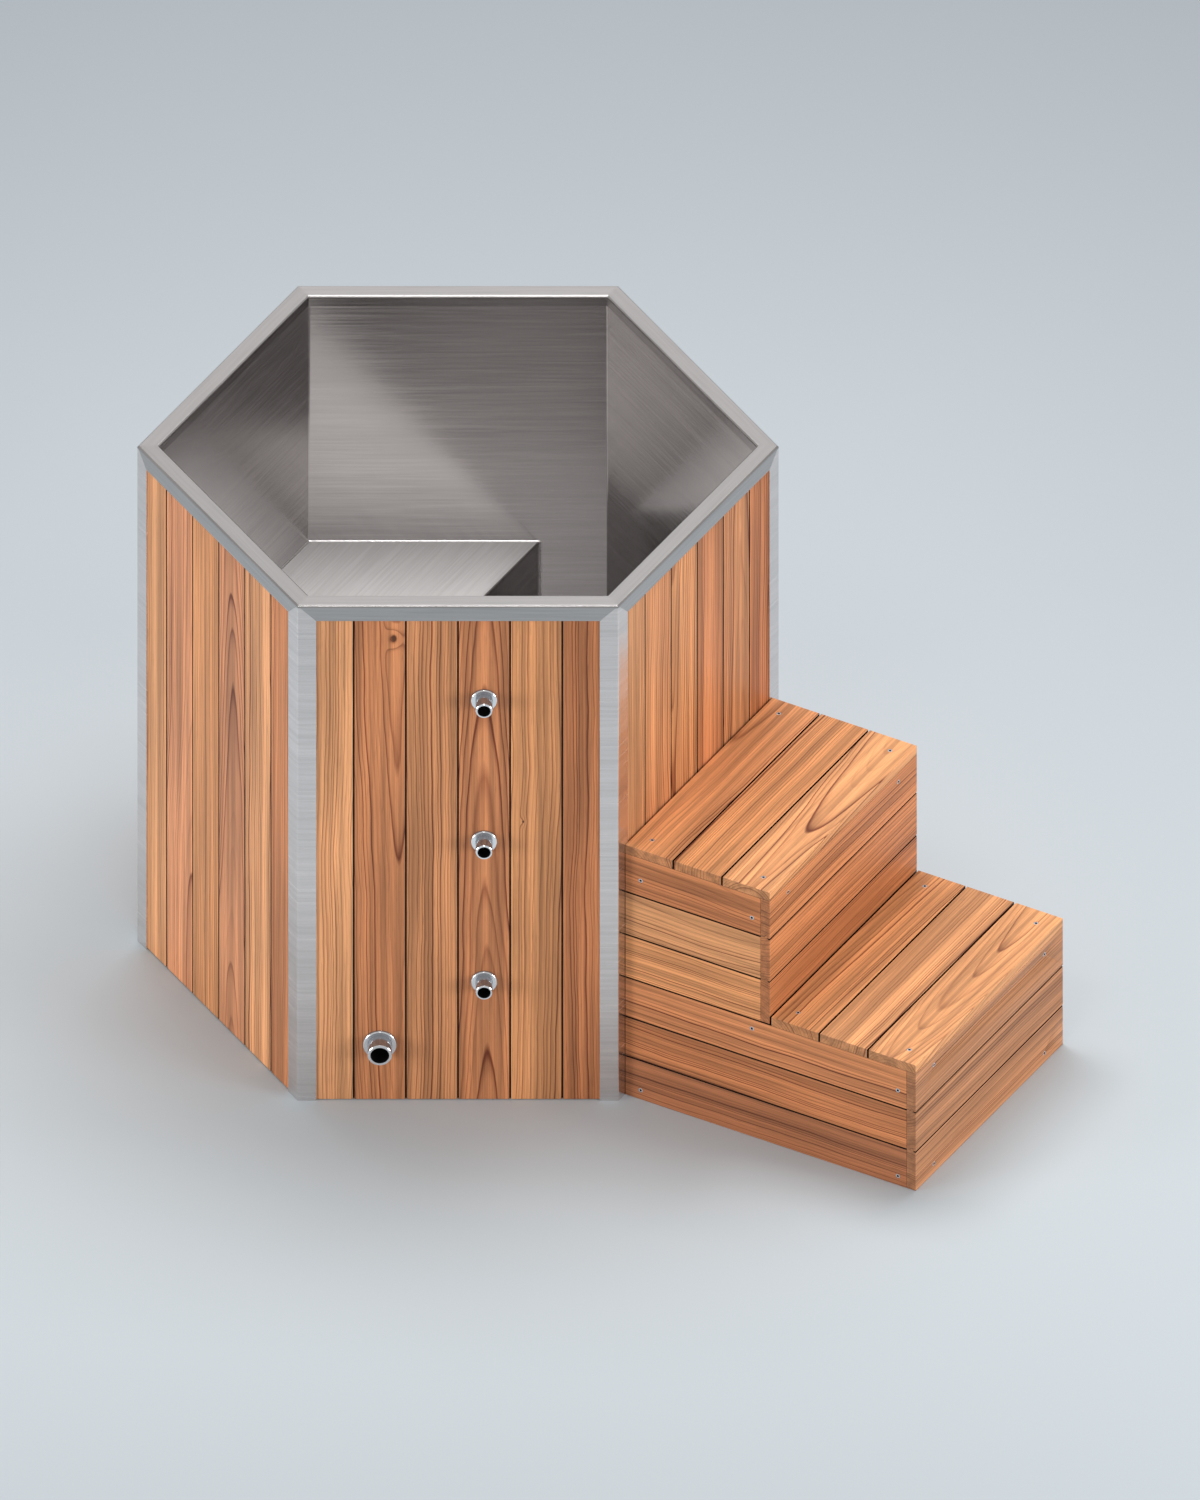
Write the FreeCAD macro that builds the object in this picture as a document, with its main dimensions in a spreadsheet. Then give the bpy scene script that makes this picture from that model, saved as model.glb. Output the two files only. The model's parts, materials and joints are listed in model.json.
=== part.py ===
"""Hexagonal plunge tub: steel liner, rim and posts, wooden cladding, and a separate wooden step unit.

The origin is on the floor under the middle of the tub. +Z is up, the pipe stubs face -Y, and two corners
of the hexagon lie on the X axis. Pieces that belong to one face are drawn as if that face were the front
one and turned about Z into place; the step unit is drawn that way too, for the front right face.
"""
import FreeCAD, Part
import math
import os
import re
import Sketcher

# Driving sizes in millimetres: name, value, meaning
SIZES = [
    ("across_flats", 1100, "outer width of the hexagon over two opposite faces"),
    ("tub_height", 1200, "floor to the top of the rim"),
    ("rim_width", 38, "width of the flat rim, and so the thickness of the whole wall"),
    ("trim_sheet", 3, "sheet of the rim and the corner posts"),
    ("trim_face", 37, "visible width of the corner posts and the rim's apron"),
    ("rim_skirt", 25, "height of the rim's inner skirt"),
    ("rim_inside_bend", 3, "inside bend radius of the rim"),
    ("post_inside_bend", 1, "inside bend radius of the corner posts"),
    ("weld_gap", 0.2, "gap at welded mitres and round welded pipes"),
    ("liner_sheet", 2, "sheet of the liner and the bench"),
    ("liner_bend", 6, "inside radius of the liner's upright corners"),
    ("floor_height", 95, "top of the liner floor above the ground"),
    ("board_thickness", 20, "cladding board"),
    ("board_cover", 100, "visible width of a full board"),
    ("board_gap", 3.2, "shadow gap between boards"),
    ("board_lift", 2, "boards and studs stand this far off the ground"),
    ("tongue_setback", 5, "depth of the shadow gap in front of a tongue"),
    ("tongue_thickness", 6, "tongue of a board"),
    ("tongue_reach", 5, "length of tongue inside the groove"),
    ("tongue_clearance", 0.3, "room round a tongue in its groove"),
    ("stud_nib", 7, "corner stud's width beside the liner's corner"),
    ("timber_gap", 0.4, "room between timber ends that meet"),
    ("batten_height", 60, "batten between the liner and the boards"),
    ("rail_width", 45, "base rails and bearers"),
    ("bearer_spacing", 250, "base bearers, centre to centre"),
    ("foot_height", 20, "rubber foot"),
    ("foot_radius", 22, "rubber foot"),
    ("bench_height", 605, "top of the bench seat above the ground"),
    ("bench_depth", 396, "bench seat, liner wall to front edge"),
    ("bench_fold", 40, "folded front edge of the bench seat"),
    ("bench_inside_bend", 4, "inside bend radius of the bench's front edge"),
    ("rib_height", 60, "rib under the bench seat"),
    ("rib_thickness", 3, "rib under the bench seat"),
    ("rib_spacing", 340, "between the ribs, centre to centre"),
    ("pipe_radius", 16.85, "outside radius of the one inch stubs"),
    ("pipe_bore", 12.85, "inside radius of the one inch stubs"),
    ("drain_radius", 24.15, "outside radius of the drain stub"),
    ("drain_bore", 18.5, "inside radius of the drain stub"),
    ("pipe_reach", 39, "stubs stand this far out of the boards"),
    ("pipe_chamfer", 1, "chamfer on a stub's outer edge"),
    ("pipe_shoulder", 0.4, "a stub's tail, in the wall and the rosette, is this much thicker in radius"),
    ("hole_clearance", 1.5, "room round a stub in its board"),
    ("rosette_width", 9.1, "rosette's ring, stub to outer edge"),
    ("rosette_thickness", 5, "rosette"),
    ("rosette_round", 3, "rosette's rounded front edge"),
    ("rosette_clearance", 0.3, "room round a stub in its rosette"),
    ("suction_height", 287, "suction stub above the ground"),
    ("return_height", 627, "return stub above the ground"),
    ("overflow_drop", 230.5, "overflow stub below the top of the rim"),
    ("drain_height", 135, "drain stub above the ground"),
    ("step_gap", 0.5, "step unit stands this far off the posts"),
    ("step_width", 583, "step unit"),
    ("step_board", 21, "thickness of the step unit's boards"),
    ("upper_tread_height", 605, "top of the upper tread above the ground"),
    ("lower_tread_height", 304.5, "top of the lower tread above the ground"),
    ("tread_board", 107.7, "width of a tread board"),
    ("tread_gap", 3.5, "gap between tread boards"),
    ("leg_depth", 40, "step unit's legs, square to the tub's face"),
    ("leg_width", 75, "step unit's legs, along the tub's face"),
    ("back_leg_inset", 15, "back legs from the step unit's back"),
    ("bearer_size", 40, "tread bearers, square"),
    ("screw_length", 55, "wood screw, head included"),
    ("screw_radius", 2.4, "wood screw's shank"),
    ("screw_head_radius", 4.8, "wood screw's countersunk head"),
    ("screw_head_height", 2.8, "wood screw's countersunk head"),
    ("screw_recess_radius", 2.2, "drive recess in a screw's head"),
    ("screw_recess_depth", 1.8, "drive recess in a screw's head"),
    ("screw_sink", 0.3, "screw heads lie this far below the wood"),
    ("screw_clearance", 0.15, "room round a screw in its hole"),
    ("screw_edge", 22, "screws near a board's edge"),
    ("screw_drop", 54, "screws in the upper side boards, below the tread"),
    ("tread_screw_inset", 38, "screws from a tread's back and front edges"),
    ("riser_screw_inset", 73, "screws from a riser's ends"),
]

# Faces in order round the tub, each turned 60 degrees about Z from the one before
FACES = ["front", "front_right", "back_right", "back", "back_left", "front_left"]
CORNERS = ["right", "back_right", "back_left", "left", "front_left", "front_right"]
FACE_DEGREES = 60
STEP_FACE = "front_right"
BENCH_FACE = "back_left"

# Boards across a tread, from the tub outwards
TREAD_ROWS = ["back", "middle", "front"]

# Millimetres that a cutter runs past what it cuts, and that two equal places may differ by
CUT_PAST = "1"
SAME_PLACE = 1e-4

# Places worked out from the sizes: distances from the tub's axis, square to a face
FACE_OUT = "(across_flats / 2)"
BOARD_OUT = "(across_flats / 2 - trim_sheet)"
BOARD_BACK = "(across_flats / 2 - trim_sheet - board_thickness)"
LINER_IN = "(across_flats / 2 - rim_width)"
LINER_OUT = "(across_flats / 2 - rim_width + liner_sheet)"
RAIL_IN = "(across_flats / 2 - rim_width + liner_sheet - rail_width)"

# A corner of the hexagon lies half a face's turn from the middle of the face
TAN = "tan(30 deg)"
COS = "cos(30 deg)"
SIN = "sin(30 deg)"

# Lengths along a face, from its middle, and heights
FACE_END = f"({FACE_OUT} * {TAN})"
BOARD_END = f"({LINER_OUT} * {TAN} - stud_nib - timber_gap)"
RIM_BEND = "(rim_inside_bend + trim_sheet)"
WALL_TOP = "(tub_height - rim_skirt)"
FLOOR_UNDER = "(floor_height - liner_sheet)"
PITCH = "(board_cover + board_gap)"
OVERFLOW_HEIGHT = "(tub_height - overflow_drop)"

# The stubs come through the first board to the right of the face's middle, the drain through the second left
PIPE_ACROSS = f"({PITCH} / 2)"
DRAIN_ACROSS = f"(-{PITCH} - {PITCH} / 2)"

# Step unit: distances out from the tub's axis, and heights
STEP_BACK = "(across_flats / 2 + step_gap)"
TREAD_DEPTH = f"({len(TREAD_ROWS)} * tread_board + {len(TREAD_ROWS) - 1} * tread_gap)"
UPPER_FRONT = f"({STEP_BACK} + {TREAD_DEPTH})"
LOWER_BACK = f"({UPPER_FRONT} + tread_gap)"
LOWER_FRONT = f"({LOWER_BACK} + {TREAD_DEPTH})"
UPPER_UNDER = "(upper_tread_height - step_board)"
LOWER_UNDER = "(lower_tread_height - step_board)"
STEP_SIDE = "(step_width / 2)"
BACK_LEG = f"({STEP_BACK} + back_leg_inset)"
MIDDLE_LEG = f"({UPPER_FRONT} - step_board - leg_depth)"
FRONT_LEG = f"({LOWER_FRONT} - step_board - leg_depth)"

doc = FreeCAD.newDocument("plunge_tub")
sheet = doc.addObject("Spreadsheet::Sheet", "Sizes")
for row, (alias, number, meaning) in enumerate(SIZES, start=1):
    sheet.set(f"A{row}", alias)
    sheet.set(f"B{row}", str(number))
    sheet.setAlias(f"B{row}", alias)
    sheet.set(f"C{row}", meaning)
doc.recompute()

ALIASES = {alias for alias, number, meaning in SIZES}
UP = FreeCAD.Vector(0, 0, 1)
SUB_PARTS = []


def bound(text):
    """The expression with each size's name pointing at its cell."""
    return re.sub(r"[a-z_]+", lambda word: f"Sizes.{word[0]}" if word[0] in ALIASES else word[0], text)


def value(text):
    return float(sheet.evalExpression(bound(text)))


def minus(text):
    return f"(-({text}))"


def turn_of(name, names):
    return FACE_DEGREES * names.index(name)


# Drawing helpers

def new_body(label, turn=0):
    body = doc.addObject("PartDesign::Body", label)
    body.Label = label
    body.Placement = FreeCAD.Placement(FreeCAD.Vector(), FreeCAD.Rotation(UP, turn))
    return body


def new_sketch(body, plane, offsets):
    """A sketch on one of the body's planes, moved by offsets along the sketch's own axes."""
    sketch = body.newObject("Sketcher::SketchObject", f"{body.Name}_sketch")
    origin_plane = next(item for item in body.Origin.OriginFeatures if item.Role == plane)
    sketch.AttachmentSupport = [(origin_plane, "")]
    sketch.MapMode = "FlatFace"
    for axis, offset in offsets.items():
        sketch.setExpression(f"AttachmentOffset.Base.{axis}", bound(offset))
    return sketch


def place_point(sketch, geometry, end, across, along):
    for kind, text in (("DistanceX", across), ("DistanceY", along)):
        number = sketch.addConstraint(Sketcher.Constraint(kind, -1, 1, geometry, end, value(text)))
        sketch.setExpression(f"Constraints[{number}]", bound(text))


def draw_circle(sketch, across, along, radius):
    centre = FreeCAD.Vector(value(across), value(along), 0)
    circle = sketch.addGeometry(Part.Circle(centre, FreeCAD.Vector(0, 0, 1), value(radius)))
    place_point(sketch, circle, 3, across, along)
    number = sketch.addConstraint(Sketcher.Constraint("Radius", circle, value(radius)))
    sketch.setExpression(f"Constraints[{number}]", bound(radius))


def draw_outline(sketch, corners):
    """A closed outline. A corner is (across, along), or with (centre across, centre along) added
    when an arc about that centre leads from it to the next corner."""
    points = [FreeCAD.Vector(value(corner[0]), value(corner[1]), 0) for corner in corners]
    pieces = []
    for index, corner in enumerate(corners):
        start = points[index]
        stop = points[(index + 1) % len(points)]
        if len(corner) == 2:
            pieces.append((sketch.addGeometry(Part.LineSegment(start, stop)), 1, 2))
            continue
        centre = FreeCAD.Vector(value(corner[2]), value(corner[3]), 0)
        towards = (start + stop) * 0.5 - centre
        middle = centre + towards.normalize() * (start - centre).Length
        forwards = (start - centre).cross(stop - centre).z > 0
        first, last = (start, stop) if forwards else (stop, start)
        arc = sketch.addGeometry(Part.Arc(first, middle, last))
        pieces.append((arc, 1, 2) if forwards else (arc, 2, 1))
        chord = stop - start
        kind, text = ("DistanceX", corner[2]) if abs(chord.y) > abs(chord.x) else ("DistanceY", corner[3])
        number = sketch.addConstraint(Sketcher.Constraint(kind, -1, 1, arc, 3, value(text)))
        sketch.setExpression(f"Constraints[{number}]", bound(text))
    for index, (piece, first, last) in enumerate(pieces):
        following, follow_first = pieces[(index + 1) % len(pieces)][:2]
        sketch.addConstraint(Sketcher.Constraint("Coincident", piece, last, following, follow_first))
        place_point(sketch, piece, first, corners[index][0], corners[index][1])


def rectangle(low_across, high_across, low_along, high_along):
    return [(low_across, low_along), (high_across, low_along), (high_across, high_along),
            (low_across, high_along)]


def mirrored(corners):
    return [(minus(corner[0]), corner[1]) for corner in corners]


def prism(label, plane, corners, start, length, turn=0):
    """A body with one outline, drawn on a plane moved along its normal by start and padded by length."""
    body = new_body(label, turn)
    sketch = new_sketch(body, plane, {"z": start})
    draw_outline(sketch, corners)
    pad = body.newObject("PartDesign::Pad", f"{label}_pad")
    pad.Profile = sketch
    pad.setExpression("Length", bound(length))
    return body


def cut(body, sketch, length):
    """Pockets the sketch's outlines along its normal and makes sure that metal or wood was removed."""
    doc.recompute()
    before = body.Shape.Volume
    pocket = body.newObject("PartDesign::Pocket", f"{body.Name}_pocket")
    pocket.Profile = sketch
    pocket.Reversed = True
    pocket.setExpression("Length", bound(length))
    doc.recompute()
    if body.Shape.Volume >= before:
        raise RuntimeError(f"{body.Label}: a cut removed nothing")


def round_edges(body, axis, places, radius):
    """Rounds the edges that run along one axis (0, 1 or 2) through places given on the other two."""
    doc.recompute()
    base = body.Tip
    others = [index for index in range(3) if index != axis]
    spots = [[value(text) for text in place] for place in places]
    names = []
    for number, edge in enumerate(base.Shape.Edges, start=1):
        ends = [vertex.Point for vertex in edge.Vertexes]
        for spot in spots:
            misses = [abs(end[others[0]] - spot[0]) + abs(end[others[1]] - spot[1]) for end in ends]
            if len(ends) == 2 and max(misses) < SAME_PLACE:
                names.append(f"Edge{number}")
    if len(names) != len(places):
        raise RuntimeError(f"{body.Label}: {len(names)} edges to round, not {len(places)}")
    fillet = body.newObject("PartDesign::Fillet", f"{body.Name}_fillet")
    fillet.Base = (base, names)
    fillet.setExpression("Radius", bound(radius))


# Turned pieces point inwards along one axis: sketch plane, axis of revolution, and sign of the depth
AIMS = {
    "+X": ("XY_Plane", "H_Axis", 1),
    "-X": ("XY_Plane", "H_Axis", -1),
    "+Y": ("XY_Plane", "V_Axis", 1),
    "-Y": ("XY_Plane", "V_Axis", -1),
    "-Z": ("XZ_Plane", "V_Axis", -1),
}


def turned(label, aim, place, profile, turn=0):
    """A body of revolution. The profile's corners are (radius, depth) along the aim from place."""
    plane, axis, sign = AIMS[aim]
    body = new_body(label, turn)
    if plane == "XZ_Plane":
        offsets = {"x": place[0], "y": place[2], "z": minus(place[1])}
    else:
        offsets = {"x": place[0], "y": place[1], "z": place[2]}
    sketch = new_sketch(body, plane, offsets)
    corners = []
    for corner in profile:
        placed = []
        for radius, depth in zip(corner[0::2], corner[1::2]):
            signed_depth = depth if sign > 0 else minus(depth)
            placed += [signed_depth, radius] if axis == "H_Axis" else [radius, signed_depth]
        corners.append(tuple(placed))
    draw_outline(sketch, corners)
    revolution = body.newObject("PartDesign::Revolution", f"{label}_revolution")
    revolution.Profile = sketch
    revolution.ReferenceAxis = (sketch, [axis])
    revolution.Angle = 360
    return body


def grouped(label, bodies):
    group = doc.addObject("Part::Compound", label)
    group.Label = label
    group.Links = bodies
    return group


def drilled(label, base, tool):
    piece = doc.addObject("Part::Cut", label)
    piece.Label = label
    piece.Base = base
    piece.Tool = tool
    return piece


def sub_part(piece):
    SUB_PARTS.append(piece)
    return piece


# Liner

def liner_walls():
    """Six wall sheets. Each ends half way round the bends at its corners."""
    bend_in = f"({LINER_IN} - liner_bend)"
    centre = f"({bend_in} * {TAN})"
    radius_in = f"({bend_in} / {COS} + liner_bend)"
    radius_out = f"({bend_in} / {COS} + liner_bend + liner_sheet)"

    def on_corner(radius):
        return f"({radius} * {SIN})", f"(-{radius} * {COS})"

    inner = on_corner(radius_in)
    outer = on_corner(radius_out)
    about = (centre, minus(bend_in))
    about_left = (minus(centre), minus(bend_in))
    corners = [
        (minus(centre), minus(LINER_IN)),
        (centre, minus(LINER_IN)) + about,
        inner,
        outer + about,
        (centre, minus(LINER_OUT)),
        (minus(centre), minus(LINER_OUT)) + about_left,
        (minus(outer[0]), outer[1]),
        (minus(inner[0]), inner[1]) + about_left,
    ]
    for face in FACES:
        wall = prism(f"liner_wall_{face}", "XY_Plane", corners, "floor_height",
                     f"{WALL_TOP} - floor_height", turn_of(face, FACES))
        if face == "front":
            pierce(wall, STUBS, "weld_gap", LINER_IN, "liner_sheet")
        sub_part(wall)


def pierce(body, stubs, room, inner_side, thickness):
    """Holes along Y for the given stubs, with room round each."""
    sketch = new_sketch(body, "XZ_Plane", {"z": f"{inner_side} - {CUT_PAST}"})
    for stub in stubs:
        across, height, radius = stub[1:4]
        draw_circle(sketch, across, height, f"{radius} + pipe_shoulder + {room}")
    cut(body, sketch, f"{thickness} + 2 * {CUT_PAST}")


def liner_floor():
    radius = f"({LINER_OUT} / {COS})"
    corners = []
    for index in range(len(CORNERS)):
        angle = FACE_DEGREES * index
        corners.append((f"{radius} * cos({angle} deg)", f"{radius} * sin({angle} deg)"))
    sub_part(prism("liner_floor", "XY_Plane", corners, FLOOR_UNDER, "liner_sheet"))


def bench():
    """Seat with a folded front edge, the front sheet under the fold, and ribs under the seat."""
    turn = turn_of(BENCH_FACE, FACES)
    front = f"({LINER_IN} - bench_depth)"
    front_back = f"({front} + liner_sheet)"
    seat_under = "(bench_height - liner_sheet)"
    fold_end = "(bench_height - bench_fold)"

    def wall_reach(distance):
        return f"(({LINER_IN} - {distance} * {SIN}) / {COS})"

    section = [
        (minus(LINER_IN), "bench_height"), (minus(front), "bench_height"), (minus(front), fold_end),
        (minus(front_back), fold_end), (minus(front_back), seat_under), (minus(LINER_IN), seat_under),
    ]
    reach = wall_reach(front)
    seat = prism("bench_seat", "YZ_Plane", section, minus(reach), f"2 * {reach}", turn)
    round_edges(seat, 0, [(minus(front), "bench_height")], "bench_inside_bend + liner_sheet")
    round_edges(seat, 0, [(minus(front_back), seat_under)], "bench_inside_bend")
    end_cut = [(wall_reach(LINER_IN), minus(LINER_IN)), (reach, minus(LINER_IN)), (reach, minus(front))]
    sketch = new_sketch(seat, "XY_Plane", {"z": fold_end})
    draw_outline(sketch, end_cut)
    draw_outline(sketch, mirrored(end_cut))
    cut(seat, sketch, "bench_fold")
    wall_corner = (wall_reach(LINER_IN), minus(LINER_IN))
    round_edges(seat, 2, [wall_corner] + mirrored([wall_corner]), "liner_bend")
    sub_part(seat)

    back_reach = wall_reach(front_back)
    sheet_outline = [(minus(reach), minus(front)), (reach, minus(front)), (back_reach, minus(front_back)),
                     (minus(back_reach), minus(front_back))]
    sub_part(prism("bench_front", "XY_Plane", sheet_outline, "floor_height", f"{fold_end} - floor_height",
                   turn))

    ribs = []
    for side, across in (("left", "-rib_spacing / 2"), ("right", "rib_spacing / 2")):
        outline = rectangle(f"{across} - rib_thickness / 2", f"{across} + rib_thickness / 2",
                            minus(LINER_IN), minus(front_back))
        ribs.append(prism(f"bench_rib_{side}", "XY_Plane", outline, f"{seat_under} - rib_height - bench_fold",
                          "rib_height + bench_fold", turn))
        corner = [(f"{across} - rib_thickness / 2", minus(front_back)),
                  (f"{across} + rib_thickness / 2", minus(front_back))]
        trim_rib(ribs[-1], corner, front_back, seat_under)
    sub_part(grouped("bench_ribs", ribs))


def trim_rib(rib, corner, front_back, seat_under):
    """Clears the rib's upper front corner from the seat's bend."""
    sketch = new_sketch(rib, "XY_Plane", {"z": f"{seat_under} - bench_inside_bend"})
    inner = f"{minus(front_back)} - bench_inside_bend"
    draw_outline(sketch, [corner[0], corner[1], (corner[1][0], inner), (corner[0][0], inner)])
    cut(rib, sketch, "bench_inside_bend")


# Rim and corner posts

def rims():
    """Six rim lengths: apron outside, flat top, skirt inside, mitred at the corners."""
    apron_end = "(tub_height - trim_face)"
    top_under = "(tub_height - trim_sheet)"
    skirt_out = f"({LINER_IN} + trim_sheet)"
    section = [
        (minus(FACE_OUT), apron_end), (minus(FACE_OUT), "tub_height"), (minus(LINER_IN), "tub_height"),
        (minus(LINER_IN), WALL_TOP), (minus(skirt_out), WALL_TOP), (minus(skirt_out), top_under),
        (minus(BOARD_OUT), top_under), (minus(BOARD_OUT), apron_end),
    ]
    outside = f"({FACE_OUT} + {CUT_PAST})"
    inside = f"({LINER_IN} - {CUT_PAST})"
    mitre = [(f"{inside} * {TAN}", minus(inside)), (f"{outside} * {TAN}", minus(inside)),
             (f"{outside} * {TAN}", minus(outside))]
    low = f"({apron_end} - {CUT_PAST})"
    notch = [
        (f"{FACE_END} - trim_face", apron_end), (f"{FACE_END} - {RIM_BEND}", f"tub_height - {RIM_BEND}"),
        (f"{FACE_END} + {CUT_PAST}", f"tub_height - {RIM_BEND}"), (f"{FACE_END} + {CUT_PAST}", low),
        (f"{FACE_END} - trim_face", low),
    ]
    for face in FACES:
        rim = prism(f"rim_{face}", "YZ_Plane", section, minus(FACE_END), f"2 * {FACE_END}",
                    turn_of(face, FACES))
        round_edges(rim, 0, [(minus(FACE_OUT), "tub_height"), (minus(LINER_IN), "tub_height")], RIM_BEND)
        round_edges(rim, 0, [(minus(skirt_out), top_under), (minus(BOARD_OUT), top_under)], "rim_inside_bend")
        sketch = new_sketch(rim, "XY_Plane", {"z": low})
        draw_outline(sketch, mitre)
        draw_outline(sketch, mirrored(mitre))
        cut(rim, sketch, f"trim_face + 2 * {CUT_PAST}")
        sketch = new_sketch(rim, "XZ_Plane", {"z": f"{BOARD_OUT} - {CUT_PAST}"})
        draw_outline(sketch, notch)
        draw_outline(sketch, mirrored(notch))
        cut(rim, sketch, f"trim_sheet + 2 * {CUT_PAST}")
        sub_part(rim)


def corner_posts():
    """Six bent angles, drawn for the corner on the X axis, with tops mitred under the aprons."""
    corner_out = f"({FACE_OUT} / {COS})"
    corner_in = f"({BOARD_OUT} / {COS})"
    end_out = (f"({corner_out} - trim_face * {SIN})", f"(trim_face * {COS})")
    end_in = (f"({end_out[0]} - trim_sheet * {COS})", f"({end_out[1]} - trim_sheet * {SIN})")
    section = [
        (corner_out, "0"), end_out, end_in, (corner_in, "0"), (end_in[0], minus(end_in[1])),
        (end_out[0], minus(end_out[1])),
    ]
    top = f"(tub_height - {RIM_BEND} - weld_gap)"
    past_leg = f"(trim_face + {CUT_PAST})"
    mitre = [
        (f"{RIM_BEND} - {FACE_END}", top),
        (f"{past_leg} - {FACE_END}", f"tub_height - {past_leg} - weld_gap"),
        (f"{past_leg} - {FACE_END}", "tub_height"),
        (f"{RIM_BEND} - {FACE_END}", "tub_height"),
    ]
    start = f"({BOARD_OUT} - {CUT_PAST})"
    for corner in CORNERS:
        post = prism(f"corner_post_{corner}", "XY_Plane", section, "0", top, turn_of(corner, CORNERS))
        round_edges(post, 2, [(corner_out, "0")], "post_inside_bend + trim_sheet")
        round_edges(post, 2, [(corner_in, "0")], "post_inside_bend")
        for leg_turn, outline in ((2 * FACE_DEGREES, mitre), (FACE_DEGREES, mirrored(mitre))):
            sketch = new_sketch(post, "XZ_Plane", {})
            sketch.AttachmentOffset = FreeCAD.Placement(FreeCAD.Vector(), FreeCAD.Rotation(
                FreeCAD.Vector(0, 1, 0), leg_turn))
            sketch.setExpression("AttachmentOffset.Base.x", bound(f"{start} * sin({leg_turn} deg)"))
            sketch.setExpression("AttachmentOffset.Base.z", bound(f"{start} * cos({leg_turn} deg)"))
            draw_outline(sketch, outline)
            cut(post, sketch, f"trim_sheet + 2 * {CUT_PAST}")
        sub_part(post)


def corner_studs():
    """Timber behind each post, between the end boards of two faces."""
    depth = f"({BOARD_OUT} - {LINER_OUT})"
    width = f"(stud_nib + {depth} * {TAN})"
    corner_out = f"({BOARD_OUT} / {COS})"
    corner_in = f"({LINER_OUT} / {COS})"
    face_out = (f"({corner_out} - {width} * {SIN})", f"({width} * {COS})")
    face_in = (f"({face_out[0]} - {depth} * {COS})", f"({face_out[1]} - {depth} * {SIN})")
    section = [
        (corner_out, "0"), face_out, face_in, (corner_in, "0"), (face_in[0], minus(face_in[1])),
        (face_out[0], minus(face_out[1])),
    ]
    studs = []
    for corner in CORNERS:
        studs.append(prism(f"corner_stud_{corner}", "XY_Plane", section, "board_lift",
                           f"{WALL_TOP} - board_lift", turn_of(corner, CORNERS)))
        round_edges(studs[-1], 2, [(corner_out, "0")], "post_inside_bend")
    sub_part(grouped("corner_studs", studs))


# Boards

def plank_section(low, high, face, inward, thickness, tongue, groove):
    """Corners (width, depth) of a board's section, with its tongue at high and its groove at low."""
    def at(depth):
        return f"({face} {inward} ({depth}))"

    corners = [(low, face), (high, face)]
    if tongue:
        tip = f"({high} + board_gap + tongue_reach)"
        shoulder = f"({high} + board_gap - tongue_clearance)"
        tongue_back = at("tongue_setback + tongue_thickness")
        corners += [(high, at("tongue_setback")), (tip, at("tongue_setback")), (tip, tongue_back),
                    (shoulder, tongue_back), (shoulder, at(thickness))]
    else:
        corners += [(high, at(thickness))]
    corners += [(low, at(thickness))]
    if groove:
        root = f"({low} + tongue_reach + tongue_clearance)"
        groove_back = at("tongue_setback + tongue_thickness + tongue_clearance")
        groove_front = at("tongue_setback - tongue_clearance")
        corners += [(low, groove_back), (root, groove_back), (root, groove_front), (low, groove_front)]
    return corners


def cladding():
    """Upright boards on each face, an even number, so that a gap lies on the face's middle."""
    pairs = round(value(f"2 * {BOARD_OUT} * {TAN}") / value(PITCH) / 2)
    drain_board = pairs + math.floor(value(f"{DRAIN_ACROSS} / {PITCH}"))
    pipe_board = pairs + math.floor(value(f"{PIPE_ACROSS} / {PITCH}"))
    for face in FACES:
        boards = []
        for index in range(2 * pairs):
            first = index == 0
            last = index == 2 * pairs - 1
            low = minus(BOARD_END) if first else f"({index - pairs} * {PITCH} + board_gap / 2)"
            high = BOARD_END if last else f"({index + 1 - pairs} * {PITCH} - board_gap / 2)"
            section = plank_section(low, high, minus(BOARD_OUT), "+", "board_thickness", not last, not first)
            board = prism(f"board_{face}_{index + 1}", "XY_Plane", section, "board_lift",
                          f"{WALL_TOP} - board_lift", turn_of(face, FACES))
            stubs = []
            if face == "front" and index == pipe_board:
                stubs = STUBS[:3]
            if face == "front" and index == drain_board:
                stubs = STUBS[3:]
            if stubs:
                pierce(board, stubs, "hole_clearance", BOARD_BACK, "board_thickness")
            boards.append(board)
        sub_part(grouped(f"boards_{face}", boards))


def battens():
    """Three hoops of battens that hold the boards off the liner."""
    heights = {
        "lower": "foot_height",
        "middle": "((suction_height + return_height - batten_height) / 2)",
        "upper": f"({WALL_TOP} - trim_face / 2 - batten_height)",
    }
    outline = rectangle(minus(BOARD_END), BOARD_END, minus(BOARD_BACK), minus(LINER_OUT))
    for level, height in heights.items():
        hoop = []
        for face in FACES:
            hoop.append(prism(f"batten_{level}_{face}", "XY_Plane", outline, height, "batten_height",
                              turn_of(face, FACES)))
        sub_part(grouped(f"{level}_battens", hoop))


# Base

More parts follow.
